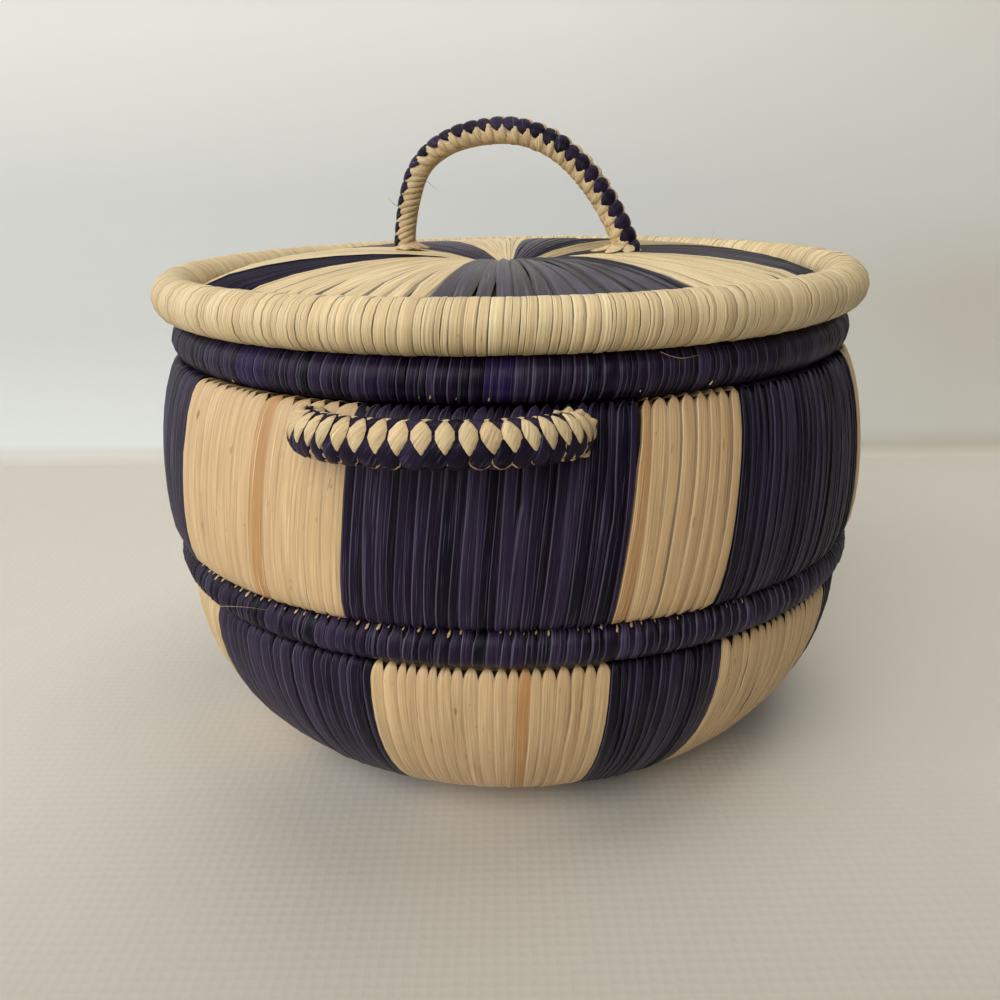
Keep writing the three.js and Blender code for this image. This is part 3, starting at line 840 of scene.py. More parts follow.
def strip_material(name, finish, stops, light, fold_highlight):
    """Palm strip: a tone for each strip, fibre lines, patches, specks, brown blots, gloss, and painted
    highlights on raised edges with painted shadows in the creases.
    """
    _, tree, shader = new_material(name)
    strip = node(tree, "ShaderNodeAttribute", attribute_name="strip").outputs["Fac"]
    fibres = node(tree, "ShaderNodeGroup", node_tree=bpy.data.node_groups["strip_fibres"])
    fibres.inputs["Across"].default_value = finish.across
    fibres.inputs["Along"].default_value = finish.along
    tree.links.new(strip, fibres.inputs["Strip"])
    tone = ramp(tree, stops, strip)
    patch = ramp(tree, [(0.3, 0.80), (0.7, 1.0)], fibres.outputs["Patch"])
    lines = ramp(tree, [(0.30, finish.dark_lines), (0.46, 0.93), (0.7, 1.0)], fibres.outputs["Fibre"])
    specks = ramp(tree, [(0.20, 0.45), (0.27, 1.0)], fibres.outputs["Speck"])
    shade = mix(tree, "MULTIPLY", 1.0, tone, patch)
    shade = mix(tree, "MULTIPLY", 1.0, shade, lines)
    shade = mix(tree, "MULTIPLY", 0.8, shade, specks)
    if finish.blots:
        brown = ramp(tree, [(0.12, BLOT_TONE), (0.205, (1.0, 1.0, 1.0))], fibres.outputs["Blot"])
        shade = mix(tree, "MULTIPLY", finish.blots, shade, brown)
    first, full, most = finish.streaks
    streak = ramp(tree, [(first, 0.0), (full, most)], fibres.outputs["Fibre"])
    shade = mix(tree, "MIX", streak, shade, tuple(light))
    if finish.edges:
        width = axes(tree, "ShaderNodeUVMap", "UV")[1]
        fold = node(tree, "ShaderNodeAttribute", attribute_name="fold").outputs["Fac"]
        # Painted highlight: a light line along each strip's raised edge
        highlight_crest = [(0.05, 0.0), (0.08, finish.edges), (0.13, 0.6 * finish.edges), (0.20, 0.0)]
        ridge_highlight = math_node(tree, "MULTIPLY", ramp(tree, highlight_crest, width), fold)
        shade = mix(tree, "MIX", ridge_highlight, shade, tuple(fold_highlight))
        dip_shadow, depth = finish.dip_shadow
        # Painted shadow: darker along the strip's edge and where it sinks under the next strip
        crease_shadow = [(0.0, 0.15), (0.035, 0.25), (0.065, 1.0), (dip_shadow, 1.0), (dip_shadow + 0.08, depth)]
        shade = mix(tree, "MULTIPLY", fold, shade, ramp(tree, crease_shadow, width))
    tree.links.new(shade, shader.inputs["Base Color"])
    rough = stretch(tree, fibres.outputs["Fibre"], 0, 1, finish.rough + 0.12, finish.rough - 0.08)
    tree.links.new(rough, shader.inputs["Roughness"])
    bump(tree, fibres.outputs["Fibre"], shader, finish.bump)
    shader.inputs["Specular IOR Level"].default_value = finish.gloss
    # Fibres run along the map, so the sheen is drawn out across them
    shader.inputs["Anisotropic"].default_value = 0.6
    shader.inputs["Anisotropic Rotation"].default_value = 0.25
    tangent = node(tree, "ShaderNodeTangent", direction_type="UV_MAP")
    tree.links.new(tangent.outputs["Tangent"], shader.inputs["Tangent"])


def make_materials():
    c = colours()
    fibre_group()
    shades = lambda straw: [(0.0, straw), (0.85, tuple(0.62 * a + 0.38 * b for a, b in zip(straw, c.tan))),
                            (0.88, c.tan), (1.0, c.rust)]
    # The tones of each kind of strip, and its light fibres, which on dyed strips are partly painted sheen
    kinds = {
        "straw": (shades(c.straw), c.straw_light),
        "lid_straw": (shades(c.lid_straw), c.lid_light),
        "braid_straw": (shades(c.braid_straw), c.lid_light),
        "dye": ([(0.0, c.ink), (0.45, c.aubergine), (0.84, c.mauve), (1.0, c.violet)], c.violet_sheen),
        # The stems' single dark tone is painted shade for the gaps between strips
        "grass": ([(0.0, c.grass), (1.0, c.grass)], c.grass),
    }
    for name, finish in FINISHES.items():
        stops, light = kinds[finish.colours]
        strip_material(name, finish, stops, light, c.violet_edge_highlight if finish.pale_fold_highlights else light)


def paint(obj, material):
    obj.data.materials.clear()
    obj.data.materials.append(bpy.data.materials[material])
    return obj


# Handles: rows of scales laid along a route


def catmull_rom(points):
    """A smooth line through points, as the frame's handle runs."""
    points = np.vstack([2 * points[0] - points[1], points, 2 * points[-1] - points[-2]])
    t = np.linspace(0, 1, CURVE_STEPS, endpoint=False)[:, None]
    pieces = []
    for a, b, c, d in zip(points, points[1:], points[2:], points[3:]):
        before, here, after = (np.linalg.norm(q - p) ** 0.5 for p, q in ((a, b), (b, c), (c, d)))
        start = ((b - a) / before - (c - a) / (before + here) + (c - b) / here) * here
        end = ((c - b) / here - (d - b) / (here + after) + (d - c) / after) * here
        pieces.append(b + start * t + (3 * c - 3 * b - 2 * start - end) * t ** 2
                      + (2 * b - 2 * c + start + end) * t ** 3)
    return np.vstack(pieces + [points[-2][None]])


def unit(vectors):
    return vectors / np.linalg.norm(vectors, axis=-1, keepdims=True)


class Route:
    """A handle's middle line, with the directions out of the arch and across it."""

    def __init__(self, points, across):
        self.points = points
        self.run = np.concatenate([[0], np.cumsum(np.linalg.norm(np.diff(points, axis=0), axis=1))])
        self.length = self.run[-1]
        ahead = unit(np.gradient(points, self.run, axis=0))
        self.out = unit(np.cross(ahead, across))
        self.across = np.cross(self.out, ahead)

    def at(self, run, table):
        return np.stack([np.interp(run, self.run, column) for column in table.T], axis=-1)

    def place(self, run, angle, reach):
        """A point at a run along the line, an angle round it, and a reach from it."""
        turned = (np.cos(angle)[..., None] * self.at(run, self.out)
                  + np.sin(angle)[..., None] * self.at(run, self.across))
        return self.at(run, self.points) + reach[..., None] * turned


def side_handle_route(azimuth_deg):
    s = sizes()
    out = np.array((math.cos(math.radians(azimuth_deg)), math.sin(math.radians(azimuth_deg)), 0))
    along = np.array((-out[1], out[0], 0))
    turn = np.linspace(0, math.pi, 100)[:, None]
    foot = s.upper_foot - SIDE_FOOT_INSET * MM
    height = s.rim_height - SIDE_DROP * MM + SIDE_RISE * MM * np.sin(turn)
    left, right = SIDE_ENDS
    aside = (right + left) / 2 - (right - left) / 2 * np.cos(turn)
    points = out * (foot + SIDE_REACH * MM * np.sin(turn)) + along * aside * MM + np.array((0, 0, 1)) * height
    return Route(points, np.array((0, 0, 1.0)))


def lid_handle_route():
    turn = math.radians(LID_HANDLE_TURN)
    along = np.array((math.cos(turn), math.sin(turn), 0))
    route = np.array(LID_HANDLE_ROUTE) * MM
    points = route[:, :1] * along + np.array((0, 0, 1)) * (rim_seat_height() + route[:, 1:])
    return Route(catmull_rom(points), np.array((-along[1], along[0], 0)))


def scales(copies):
    """Copies of one pointed pillow, and its corners: along, across from tip to tip, and up."""
    nothing_selected()
    bpy.ops.mesh.primitive_uv_sphere_add(segments=8, ring_count=7, radius=1)
    obj = bpy.context.object
    corners = np.array([vertex.co for vertex in obj.data.vertices])
    return copied(obj, copies), corners[:, 0], corners[:, 2], -corners[:, 1]


def pointed(tip, sharpness):
    """How much a round outline draws in towards its tips to make a pointed oval."""
    return (1 - np.abs(tip) ** sharpness) ** 0.8 / np.sqrt(np.maximum(1 - tip ** 2, 1e-6))


def scale_rows(route, rows, weave, radius, rng):
    """Rows of scales on a handle of the given radius."""
    count = int(route.length * (1 + weave.crowd) / (weave.pitch * MM))
    places = [(row, (k + row.offset + 0.25) / count) for row in rows for k in range(count)]
    places = [(row, share) for row, share in places if row.start <= share <= row.end]
    column = lambda key: np.array([getattr(row, key) for row, share in places])[:, None]
    draw = lambda spread: rng.uniform(-spread, spread, (len(places), 1))
    share = np.array([share for row, share in places])[:, None]
    runs = (share - weave.crowd * np.sin(FULL_TURN * share) / FULL_TURN) * route.length
    narrow = (1 - weave.crowd * np.cos(FULL_TURN * share)) / (1 + weave.crowd)
    at = lambda values: np.interp(runs / route.length, np.linspace(0, 1, len(values)), values)
    obj, along, tip, up = scales(len(runs))
    aside = along * pointed(tip[None, :], column("point"))
    sway = (at(weave.lean) * column("lean") + draw(0.12)) * tip
    run = runs + column("length") * narrow * MM * (aside * (1 + draw(0.08)) + sway) + draw(0.15) * MM
    girth = radius * at(weave.girth)
    around = (np.radians(column("angle") + at(weave.twist)) + draw(0.03)
              + column("arc") * MM * tip * (1 + draw(0.06)) / girth)
    reach = girth + (column("rise") - column("tilt") * tip + weave.swell * up + draw(0.12)) * MM
    set_places(obj, route.place(np.clip(run, 0, route.length), around, reach))
    set_value(obj, "strip", np.repeat(rng.uniform(*TONES, len(runs)), len(tip)))
    lay_fibres(obj, tip * 0.1 * column("arc"), 0.5 + 0.25 * (aside - at(weave.grain) * tip))
    return obj


def tube(route, radius, steps, sides):
    """A closed tube along a route; the radius runs through the given values from start to end."""
    nothing_selected()
    bpy.ops.mesh.primitive_grid_add(x_subdivisions=steps, y_subdivisions=sides, size=2)
    obj = bpy.context.object
    corners = np.array([vertex.co for vertex in obj.data.vertices])
    share = (corners[:, 0] + 1) / 2
    reach = np.interp(share, np.linspace(0, 1, len(radius)), radius)
    set_places(obj, route.place(share * route.length, (corners[:, 1] + 1) * math.pi, reach))
    bpy.ops.object.mode_set(mode="EDIT")
    bpy.ops.mesh.select_all(action="SELECT")
    bpy.ops.mesh.remove_doubles(threshold=1e-6)
    bpy.ops.mesh.fill_holes(sides=sides)
    bpy.ops.object.mode_set(mode="OBJECT")
    set_value(obj, "strip", np.full(len(obj.data.vertices), 0.3))
    stretch_uv(obj, route.length)
    return obj


def strip_ends(foot, out, level, fan, rng):
    """Folded strip ends that fan out round a handle's foot on the surface that carries it.

    A favour above 0 makes them longer on the level direction's side, and below 0 on the other."""
    obj, along, tip, up = scales(fan.count)
    side = unit(np.cross(out, level))
    jitter = rng.uniform(-0.25, 0.25, (fan.count, 1))
    turn = (np.arange(fan.count)[:, None] + jitter) * FULL_TURN / fan.count
    draw = lambda spread: 1 + rng.uniform(-spread, spread, (fan.count, 1))
    share = (tip[None, :] + 1) / 2
    length_here = fan.long * (1 + fan.favour * np.cos(turn))
    distance = (fan.inner + share * length_here * draw(0.2)) * MM
    broader = 1 + 0.4 * fan.favour * np.cos(turn)
    aside = along * pointed(tip[None, :], 1.6) * fan.wide * MM * draw(0.15) * broader
    lift = (fan.rise * (1 - share) ** 2 * draw(0.2) + 0.9 * up + 0.2) * MM
    ahead = np.cos(turn)[..., None] * level + np.sin(turn)[..., None] * side
    sideways = -np.sin(turn)[..., None] * level + np.cos(turn)[..., None] * side
    places = foot + distance[..., None] * ahead - aside[..., None] * sideways + lift[..., None] * out
    set_places(obj, places)
    set_value(obj, "strip", np.repeat(rng.uniform(*TONES, fan.count), len(tip)))
    return obj


def add_fans(name, body, route, fans, seeds, level, out=None):
    """Strip ends at both feet, which face out, or away from the basket's axis where out isn't given."""
    for fan, seed in zip(fans, seeds):
        run = fan.inset * MM if fan.side == "left" else route.length - fan.inset * MM
        foot = route.at(np.array(run), route.points)
        away = unit(foot * (1, 1, 0)) if out is None else out
        ends = strip_ends(foot, away, level, fan, np.random.default_rng(SEED + seed))
        finish_piece(paint(ends, "natural_braid"), f"{name}_foot_{fan.side}", body,
                     [f"{name}_lashing_{fan.side}"])


def add_handle(name, body, route, natural_rows, purple_rows, weave, radius, seed):
    """A handle's undyed and dyed scales, which share one set of random draws, and the bundle inside."""
    rng = np.random.default_rng(SEED + seed)
    natural = scale_rows(route, natural_rows, weave, radius, rng)
    finish_piece(paint(natural, "natural_braid"), f"{name}_natural_braid", body,
                 [f"{name}_braid"])
    purple = scale_rows(route, purple_rows, weave, radius, rng)
    finish_piece(paint(purple, "purple_braid"), f"{name}_purple_braid", body)
    girth = [max(radius * share - HANDLE_BUNDLE_INSET * MM, THINNEST_BUNDLE * MM) for share in weave.girth]
    bundle = tube(route, girth, steps=48, sides=12)
    finish_piece(paint(bundle, "grass_stems"), f"{name}_bundle", body, [f"{name}_core"])


# Pieces


def all_borders(seen):
    """The seen borders, then the rest of the turn in equal shares."""
    unseen = BLOCK_COUNT - len(seen) + 1
    share = (seen[0] + 360 - seen[-1]) / unseen
    return list(seen) + [seen[-1] + share * (k + 1) for k in range(unseen)]


def strip_finish(is_purple, undyed="natural_strip"):
    """The material and the slot of dyed or undyed strips."""
    return ("purple_strip", "purple_strips") if is_purple else (undyed, "natural_strips")


def add_wall(name, line, thickness, borders, first_is_purple, looks, **shape):
    """A wall's blocks of strips, which take the looks in turn."""
    outline = band(line, thickness, 0, WALL_STATIONS)
    widest = outline.place[:, 0].max()
    for k in range(BLOCK_COUNT):
        rng = np.random.default_rng(SEED + 100 * len(name) + k)
        look = looks[k % len(looks)]
        count = max(2, round(math.radians(borders[k + 1] - borders[k]) * widest / (look.pitch * MM)))
        tones = rng.uniform(look.palest, look.darkest, count)
        if k in RUST_STRIPS[name]:
            share, tone = RUST_STRIPS[name][k]
            tones[round(share * (count - 1))] = tone
        obj = strips(outline, borders[k], borders[k + 1], count, rng, tones=tones, spread=look.spread,
                     relief=look.relief, fold=look.fold, **shape)
        material, slot = strip_finish((k % 2 == 0) == first_is_purple)
        finish_piece(paint(obj, material), f"{name}_strips_{k + 1:02d}", "basket",
                     [f"{name}_wrap_{k + 1:02d}"])


class BASKET_OT_materials(bpy.types.Operator):
    """Make the strips', braids' and stems' materials"""
    bl_idname = "basket.materials"
    bl_label = "Materials"

    def execute(self, context):
        make_materials()
        return {"FINISHED"}


class BASKET_OT_bundles(bpy.types.Operator):
    """Add the grass bundles inside the walls, coils, base and lid"""
    bl_idname = "basket.bundles"
    bl_label = "Grass bundles"

    def execute(self, context):
        s = sizes()
        inset = BUNDLE_INSET * MM
        flat = lambda line, thickness: band(line, thickness, inset, FLAT_BUNDLE_STATIONS)
        round_one = lambda ring, coil, height: circle(ring, coil - inset, height, ROUND_BUNDLE_STATIONS)
        outlines = [
            ("base", "basket", flat(base_line(), s.base_height)),
            ("lower_wall", "basket", flat(lower_wall_line(), s.lower_thickness)),
            ("upper_wall", "basket", flat(upper_wall_line(), s.upper_thickness)),
            ("lid_disc", "lid", flat(lid_line(), s.lid_thickness)),
            ("mid_coil", "basket", round_one(s.mid_ring, s.mid_coil, s.mid_height)),
            ("rim_coil", "basket", round_one(s.rim_ring, s.rim_coil, s.rim_height)),
            ("lid_rim", "lid", round_one(s.lid_ring, s.lid_coil, rim_seat_height())),
        ]
        for name, body, outline in outlines:
            obj = paint(stem_bundle(outline), "grass_stems")
            finish_piece(obj, f"{name}_bundle", body, [f"{name}_core"], smooth_angle=80)
        return {"FINISHED"}


def add_knot(name, body, material, ring, coil, height, rng):
    """The small coil of strips where a disc's strips meet."""
    outline = circle(ring * MM, coil * MM, height, KNOT_STATIONS)
    knot = strips(outline, 0, 360, KNOT_TURNS, rng, section=TURN)
    finish_piece(paint(knot, material), f"{name}_knot_strips", body, [f"{name}_knot"])


class BASKET_OT_base(bpy.types.Operator):
    """Add the base's radial strips and the knot in its middle"""
    bl_idname = "basket.base"
    bl_label = "Base"

    def execute(self, context):
        rng = np.random.default_rng(SEED + 1)
        outline = band(base_line(), sizes().base_height - BASE_STRIP_ROOM * MM, 0, BASE_STATIONS)
        obj = strips(outline, 0, 360, BASE_STRIPS, rng, **BASE_SHAPE)
        finish_piece(paint(obj, "natural_strip"), "base_strips", "basket", ["base_wrap"])
        add_knot("base", "basket", "natural_strip", *BASE_KNOT, BASE_KNOT_HEIGHT * MM, rng)
        return {"FINISHED"}


class BASKET_OT_walls(bpy.types.Operator):
    """Add the blocks of strips round the lower and the upper wall"""
    bl_idname = "basket.walls"
    bl_label = "Walls"

    def execute(self, context):
        s = sizes()
        add_wall("lower_wall", lower_wall_line(), s.lower_thickness, all_borders(LOWER_BORDERS), True,
                 LOWER_LOOKS, **LOWER_SHAPE)
        add_wall("upper_wall", upper_wall_line(), s.upper_thickness, all_borders(UPPER_BORDERS), False,
                 UPPER_LOOKS, **UPPER_SHAPE)
        return {"FINISHED"}


class BASKET_OT_coils(bpy.types.Operator):
    """Add the strips wound round the middle coil, the rim coil, the lid's rim and the locating coil"""
    bl_idname = "basket.coils"
    bl_label = "Coils"

    def execute(self, context):
        s = sizes()
        locating_ring = s.rim_ring - s.rim_coil - LOCATING_GAP * MM - s.locating_coil
        low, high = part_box("lid_locating_coil")
        # Ring, coil, height, whether it is dyed, body, and the frame's node
        coils = {
            "mid_coil": (s.mid_ring, s.mid_coil, s.mid_height, True, "basket", "mid_coil_wrap"),
            "rim_coil": (s.rim_ring, s.rim_coil, s.rim_height, True, "basket", "rim_coil_wrap"),
            "lid_rim": (s.lid_ring, s.lid_coil, rim_seat_height(), False, "lid", "lid_rim_wrap"),
            "lid_locating_coil": (locating_ring, s.locating_coil, (low.z + high.z) / 2, False, "lid",
                                  "lid_locating_coil"),
        }
        for k, (name, (ring, coil, height, is_purple, body, cad_node)) in enumerate(coils.items()):
            turns, spread, section, slits = WINDINGS[name]
            rng = np.random.default_rng(SEED + 20 + k)
            outline = circle(ring, coil - TURN_INSET * MM, height, COIL_STATIONS)
            tones = np.random.default_rng(SEED + 60 + k).uniform(*TONES, turns)
            azimuth = (np.arange(turns) + 0.5) / turns * 360 - 360
            if name == "rim_coil":
                for start, end in VIOLET_TURNS:
                    tones[(azimuth > start) & (azimuth < end)] = 1.0
            obj = strips(outline, 0, 360, turns, rng, section=section, spread=spread, tones=tones,
                         slits=slits, **COIL_SHAPE)
            material, slot = strip_finish(is_purple, "lid_strip")
            finish_piece(paint(obj, material), f"{name}_strips", body, [cad_node])
        return {"FINISHED"}


def add_stitches(name, ring, coil, height, azimuths, stitch, rng):
    """Small pale stitches on a coil, each leaning in the notch between two turns."""
    count = len(azimuths)
    wide, long, depth = stitch.wide * MM, stitch.long * MM, stitch.depth * MM
    obj, along, tip, up = scales(count)
    sway = along * (0.85 - 0.35 * tip) + 0.6 * tip
    size = rng.uniform(0.35, 1.15, (count, 1))
    azimuth = np.radians(azimuths)[:, None] + sway * wide * size * rng.uniform(0.8, 1.2, (count, 1)) / ring
    turn = np.radians(stitch.turn + rng.uniform(-6, 6, count))[:, None] + tip * long * size / coil
    reach = coil - depth + 0.3 * MM * up
    set_places(obj, round_places(ring + reach * np.cos(turn), height + reach * np.sin(turn), azimuth))
    set_value(obj, "strip", np.repeat(rng.uniform(0.2, 0.86, count), len(tip)))
    finish_piece(paint(obj, "natural_braid"), name, "basket")


class BASKET_OT_stitches(bpy.types.Operator):
    """Add the pale stitches that show between the dyed coils' turns"""
    bl_idname = "basket.stitches"
    bl_label = "Stitches"

    def execute(self, context):
        s = sizes()
        rng = np.random.default_rng(SEED + 30)
        # The middle coil's turns, shared out as its strips are
        winding = WINDINGS["mid_coil"]
        turns = shares(np.random.default_rng(SEED + 20), winding.turns, winding.spread)[:-1] * 360
        shown = turns[rng.random(winding.turns) < np.interp(turns, *zip(*STITCH_CHANCE))]
        add_stitches("mid_coil_stitches", s.mid_ring, s.mid_coil, s.mid_height, shown, MID_STITCH, rng)
        rim = np.concatenate([RIM_STITCHES, rng.uniform(-80, 250, HIDDEN_RIM_STITCHES)])
        add_stitches("rim_coil_stitches", s.rim_ring, s.rim_coil, s.rim_height, rim, RIM_STITCH, rng)
        return {"FINISHED"}


class BASKET_OT_lid_disc(bpy.types.Operator):
    """Add the lid's petals of radial strips and the knot in its dimple"""
    bl_idname = "basket.lid_disc"
    bl_label = "Lid disc"

    def execute(self, context):
        outline = band(lid_line(), sizes().lid_thickness, 0, LID_STATIONS)
        borders = [petal.start for petal in PETALS] + [PETALS[0].start + 360]
        for k, petal in enumerate(PETALS):
            rng = np.random.default_rng(SEED + 300 + k)
            count = round((borders[k + 1] - borders[k]) / petal.pitch)
            tones = rng.uniform(*petal.tones, count)
            obj = strips(outline, borders[k], borders[k + 1], count, rng, tones=tones, relief=petal.relief,
                         fold=petal.fold, **PETAL_SHAPE)
            finish_piece(paint(obj, petal.material), f"lid_petal_strips_{k + 1:02d}", "lid",
                         [f"lid_petal_{k + 1:02d}"])
        add_knot("lid", "lid", "lid_strip", *LID_KNOT, rim_seat_height(), np.random.default_rng(SEED + 2))
        return {"FINISHED"}


class BASKET_OT_side_handles(bpy.types.Operator):
    """Add the braided handles on the front and back of the wall"""
    bl_idname = "basket.side_handles"
    bl_label = "Side handles"

    def execute(self, context):
        radius = sizes().side_handle
        for k, name in enumerate(("front_handle", "back_handle")):
            route = side_handle_route(SIDE_AZIMUTH + 180 * k)
            add_handle(name, "basket", route, SIDE_NATURAL, SIDE_PURPLE, SIDE_WEAVE, radius, 400 + k)
            add_fans(name, "basket", route, SIDE_FANS, (410 + k, 410 + k), np.array((0, 0, 1.0)))
        return {"FINISHED"}


class BASKET_OT_lid_handle(bpy.types.Operator):
    """Add the braided arch on the lid"""
    bl_idname = "basket.lid_handle"
    bl_label = "Lid handle"

    def execute(self, context):
        route = lid_handle_route()
        radius = sizes().lid_handle - LID_WEAVE.inset * MM
        add_handle("lid_handle", "lid", route, LID_NATURAL, LID_PURPLE, LID_WEAVE, radius, 420)
        lining = tube(route, [share * radius for share in LID_WEAVE.girth], steps=64, sides=14)
        finish_piece(paint(lining, "natural_braid"), "lid_handle_lining", "lid")
        level, up = np.array((1.0, 0, 0)), np.array((0, 0, 1.0))
        add_fans("lid_handle", "lid", route, LID_FANS, (430, 431), level, up)
        return {"FINISHED"}


class BASKET_OT_loose_fibres(bpy.types.Operator):
    """Add the few fine fibres that have come loose"""
    bl_idname = "basket.loose_fibres"
    bl_label = "Loose fibres"

    def execute(self, context):
        for name, (body, slot, material, points) in LOOSE_FIBRES.items():
            route = Route(catmull_rom(np.array(points) * MM), np.array((0.3, 0.8, 0.5)))
            fibre = tube(route, [radius * MM for radius in FIBRE_RADII], steps=24, sides=5)
            finish_piece(paint(fibre, material), f"loose_fibre_{name}", body)
        return {"FINISHED"}


# Camera and stage


def add_camera():
    pitch, roll, yaw = (math.radians(a) for a in (CAMERA_PITCH, CAMERA_ROLL, CAMERA_YAW))
    ahead = Vector((math.sin(yaw) * math.cos(pitch), math.cos(yaw) * math.cos(pitch), -math.sin(pitch)))
    level = Vector((math.cos(yaw), -math.sin(yaw), 0))
    up = level.cross(ahead)
    right = math.cos(roll) * level + math.sin(roll) * up
    up = math.cos(roll) * up - math.sin(roll) * level
    bpy.ops.object.camera_add()
    camera = bpy.context.object
    camera.data.lens = camera.data.sensor_width = 36
    camera.data.clip_start = 0.01
    place = Vector(CAMERA_PLACE) * MM
    camera.matrix_world = Matrix((
        (right.x, up.x, -ahead.x, place.x),
        (right.y, up.y, -ahead.y, place.y),
        (right.z, up.z, -ahead.z, place.z),
        (0, 0, 0, 1)))
    bpy.context.scene.camera = camera


def add_lamp(name, place, target, size, watts, shade):
    bpy.ops.object.light_add(type="AREA", location=place)
    lamp = bpy.context.object
    lamp.name = name
    lamp.data.shape = "DISK"
    lamp.data.size = size
    lamp.data.energy = watts
    lamp.data.color = shade
    lamp.rotation_euler = (Vector(target) - Vector(place)).to_track_quat("-Z", "Y").to_euler()


def select_edges(obj, wanted):
    """Selects the edges whose two ends both pass a test, in edit mode."""
    bpy.ops.object.mode_set(mode="OBJECT")
    corners = obj.data.vertices
    for edge in obj.data.edges:
        edge.select = all(wanted(corners[v].co) for v in edge.vertices)
    bpy.ops.object.mode_set(mode="EDIT")


def add_floor():
    """A floor whose back edge is drawn up into a backdrop, with a small round crease."""
    turn = math.radians(STAGE_TURN)
    place = (math.sin(turn) * STAGE_SIZE / 2, STAGE_DEPTH - math.cos(turn) * STAGE_SIZE / 2, 0)
    bpy.ops.mesh.primitive_plane_add(size=STAGE_SIZE, location=place, rotation=(0, 0, turn))
    floor = bpy.context.object
    floor.name = "stage_floor"
    bpy.ops.object.mode_set(mode="EDIT")
    bpy.ops.mesh.select_all(action="DESELECT")
    select_edges(floor, lambda corner: corner.y > 0)
    bpy.ops.mesh.select_mode(type="EDGE")
    bpy.ops.mesh.extrude_region_move(TRANSFORM_OT_translate={"value": (0, 0, STAGE_HEIGHT)})
    select_edges(floor, lambda corner: corner.y > 0 and corner.z < 0.1)
    bpy.ops.mesh.bevel(offset=STAGE_CREASE, segments=8)
    bpy.ops.object.mode_set(mode="OBJECT")
    bpy.ops.object.transform_apply(location=True, rotation=True, scale=True)
    bpy.ops.object.shade_smooth()
    return floor


def stage_paper():
    """Pale paper: tones by height that paint the light on the backdrop, painted shade on the floor near the
    camera and on the backdrop's right side, and the floor's fine dimples.
    """
    c = colours()
    material, tree, shader = new_material("stage_paper")
    side, depth, height = axes(tree, "ShaderNodeTexCoord", "Object")
    level = stretch(tree, height, 0, SHADED_HEIGHT)
    # Painted light: the backdrop's tone steps with height
    shades = [(share, tuple(getattr(c, name))) for share, name in STAGE_SHADES]
    # Painted shade: the floor darkens towards the camera
    near = stretch(tree, depth, *NEAR_FLOOR_SHADE)
    shade = mix(tree, "MIX", near, ramp(tree, shades, level), tuple(c.floor_near_shade))
    # Painted shade: the backdrop is darker and warmer on the right, most of all in its crease
    right = stretch(tree, side, *RIGHT_SHADE_SIDE)
    right_shade = math_node(tree, "MULTIPLY", right, ramp(tree, BACKDROP_RIGHT_SHADE, level))
    shade = mix(tree, "MIX", right_shade, shade, tuple(c.backdrop_right_shade))
    tree.links.new(shade, shader.inputs["Base Color"])
    shader.inputs["Roughness"].default_value = STAGE_ROUGHNESS
    dimples = node(tree, "ShaderNodeTexVoronoi", Scale=DIMPLES, Randomness=0.2)
    tree.links.new(tree.nodes["Texture Coordinate"].outputs["Object"], dimples.inputs["Vector"])
    on_floor = math_node(tree, "LESS_THAN", height, 0.001)
    bump(tree, dimples.outputs["Distance"], shader, math_node(tree, "MULTIPLY", on_floor, DIMPLE_STRENGTH))
    return material


def room_light():
    """Light of the studio's room, which comes from the left, where its windows are."""
    world = bpy.data.worlds.new("studio")
    world.use_nodes = True
    tree = world.node_tree
    background = tree.nodes["Background"]
    background.inputs["Color"].default_value = (*ROOM_SHADE, 1)
    side = axes(tree, "ShaderNodeTexCoord", "Generated")[0]
    tree.links.new(stretch(tree, side, 0, -1, *ROOM_LIGHT), background.inputs["Strength"])
    return world


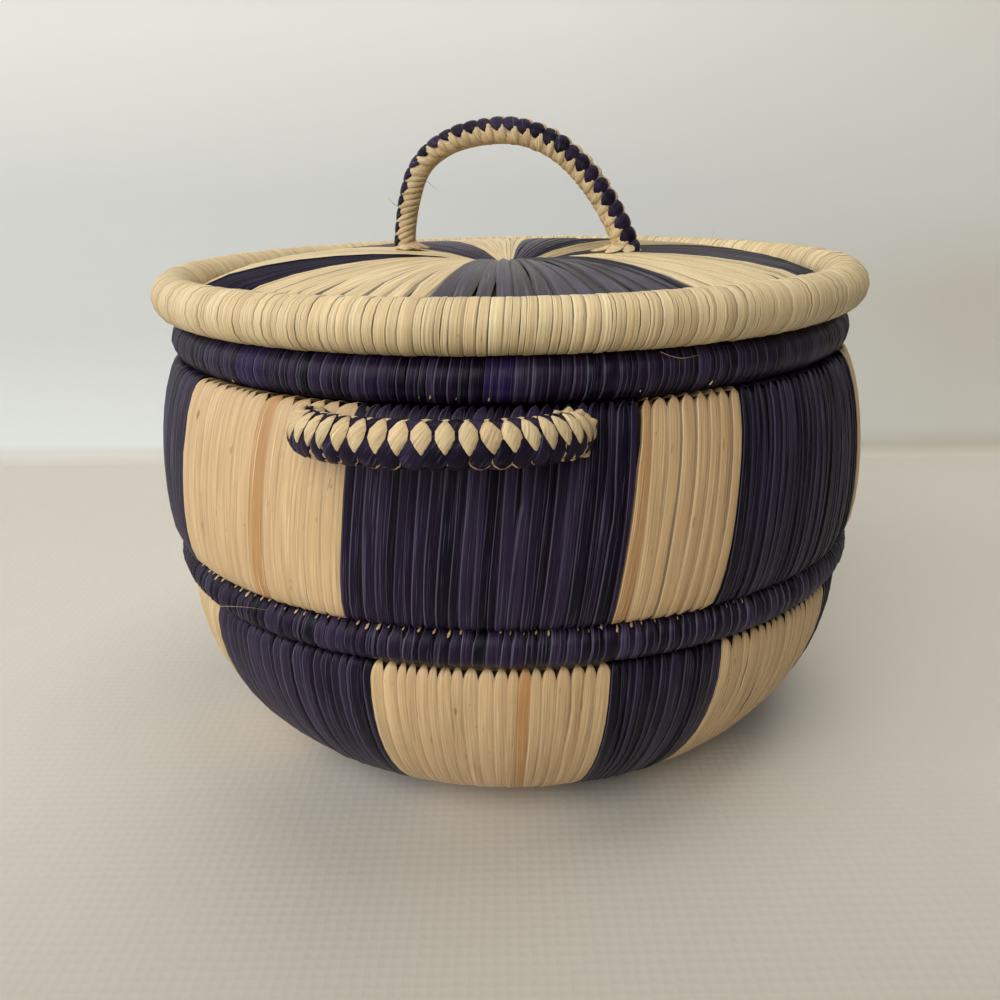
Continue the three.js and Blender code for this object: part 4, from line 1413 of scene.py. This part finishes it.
class BASKET_OT_stage(bpy.types.Operator):
    """Add the camera, the floor and backdrop, and the lamps"""
    bl_idname = "basket.stage"
    bl_label = "Stage"

    def execute(self, context):
        nothing_selected()
        add_camera()
        floor = add_floor()
        floor.data.materials.append(stage_paper())
        for lamp in LAMPS:
            add_lamp(*lamp)
        context.scene.world = room_light()
        context.scene.view_settings.view_transform = "Standard"
        return {"FINISHED"}


class BASKET_PT_panel(bpy.types.Panel):
    """The basket's sizes, colours and pieces"""
    bl_idname = "BASKET_PT_panel"
    bl_label = "Basket"
    bl_space_type = "VIEW_3D"
    bl_region_type = "UI"
    bl_category = "Basket"

    def draw(self, context):
        for group in (context.scene.basket_sizes, context.scene.basket_colours):
            column = self.layout.column(align=True)
            for key in group.bl_rna.properties.keys():
                if key not in {"rna_type", "name"}:
                    column.prop(group, key)
        for operator in OPERATORS:
            self.layout.operator(operator.bl_idname)


OPERATORS = (
    BASKET_OT_materials, BASKET_OT_bundles, BASKET_OT_base, BASKET_OT_walls, BASKET_OT_coils,
    BASKET_OT_stitches, BASKET_OT_lid_disc, BASKET_OT_side_handles, BASKET_OT_lid_handle,
    BASKET_OT_loose_fibres, BASKET_OT_stage,
)
CLASSES = (BasketSizes, BasketColours, *OPERATORS, BASKET_PT_panel)


def register():
    for made in CLASSES:
        bpy.utils.register_class(made)
    bpy.types.Scene.basket_sizes = bpy.props.PointerProperty(type=BasketSizes)
    bpy.types.Scene.basket_colours = bpy.props.PointerProperty(type=BasketColours)


def unregister():
    del bpy.types.Scene.basket_colours
    del bpy.types.Scene.basket_sizes
    for made in reversed(CLASSES):
        bpy.utils.unregister_class(made)


def main():
    register()
    bpy.ops.basket.materials()
    bpy.ops.basket.bundles()
    bpy.ops.basket.base()
    bpy.ops.basket.walls()
    bpy.ops.basket.coils()
    bpy.ops.basket.stitches()
    bpy.ops.basket.lid_disc()
    bpy.ops.basket.side_handles()
    bpy.ops.basket.lid_handle()
    bpy.ops.basket.loose_fibres()
    bpy.ops.basket.stage()


if __name__ == "__main__":
    main()
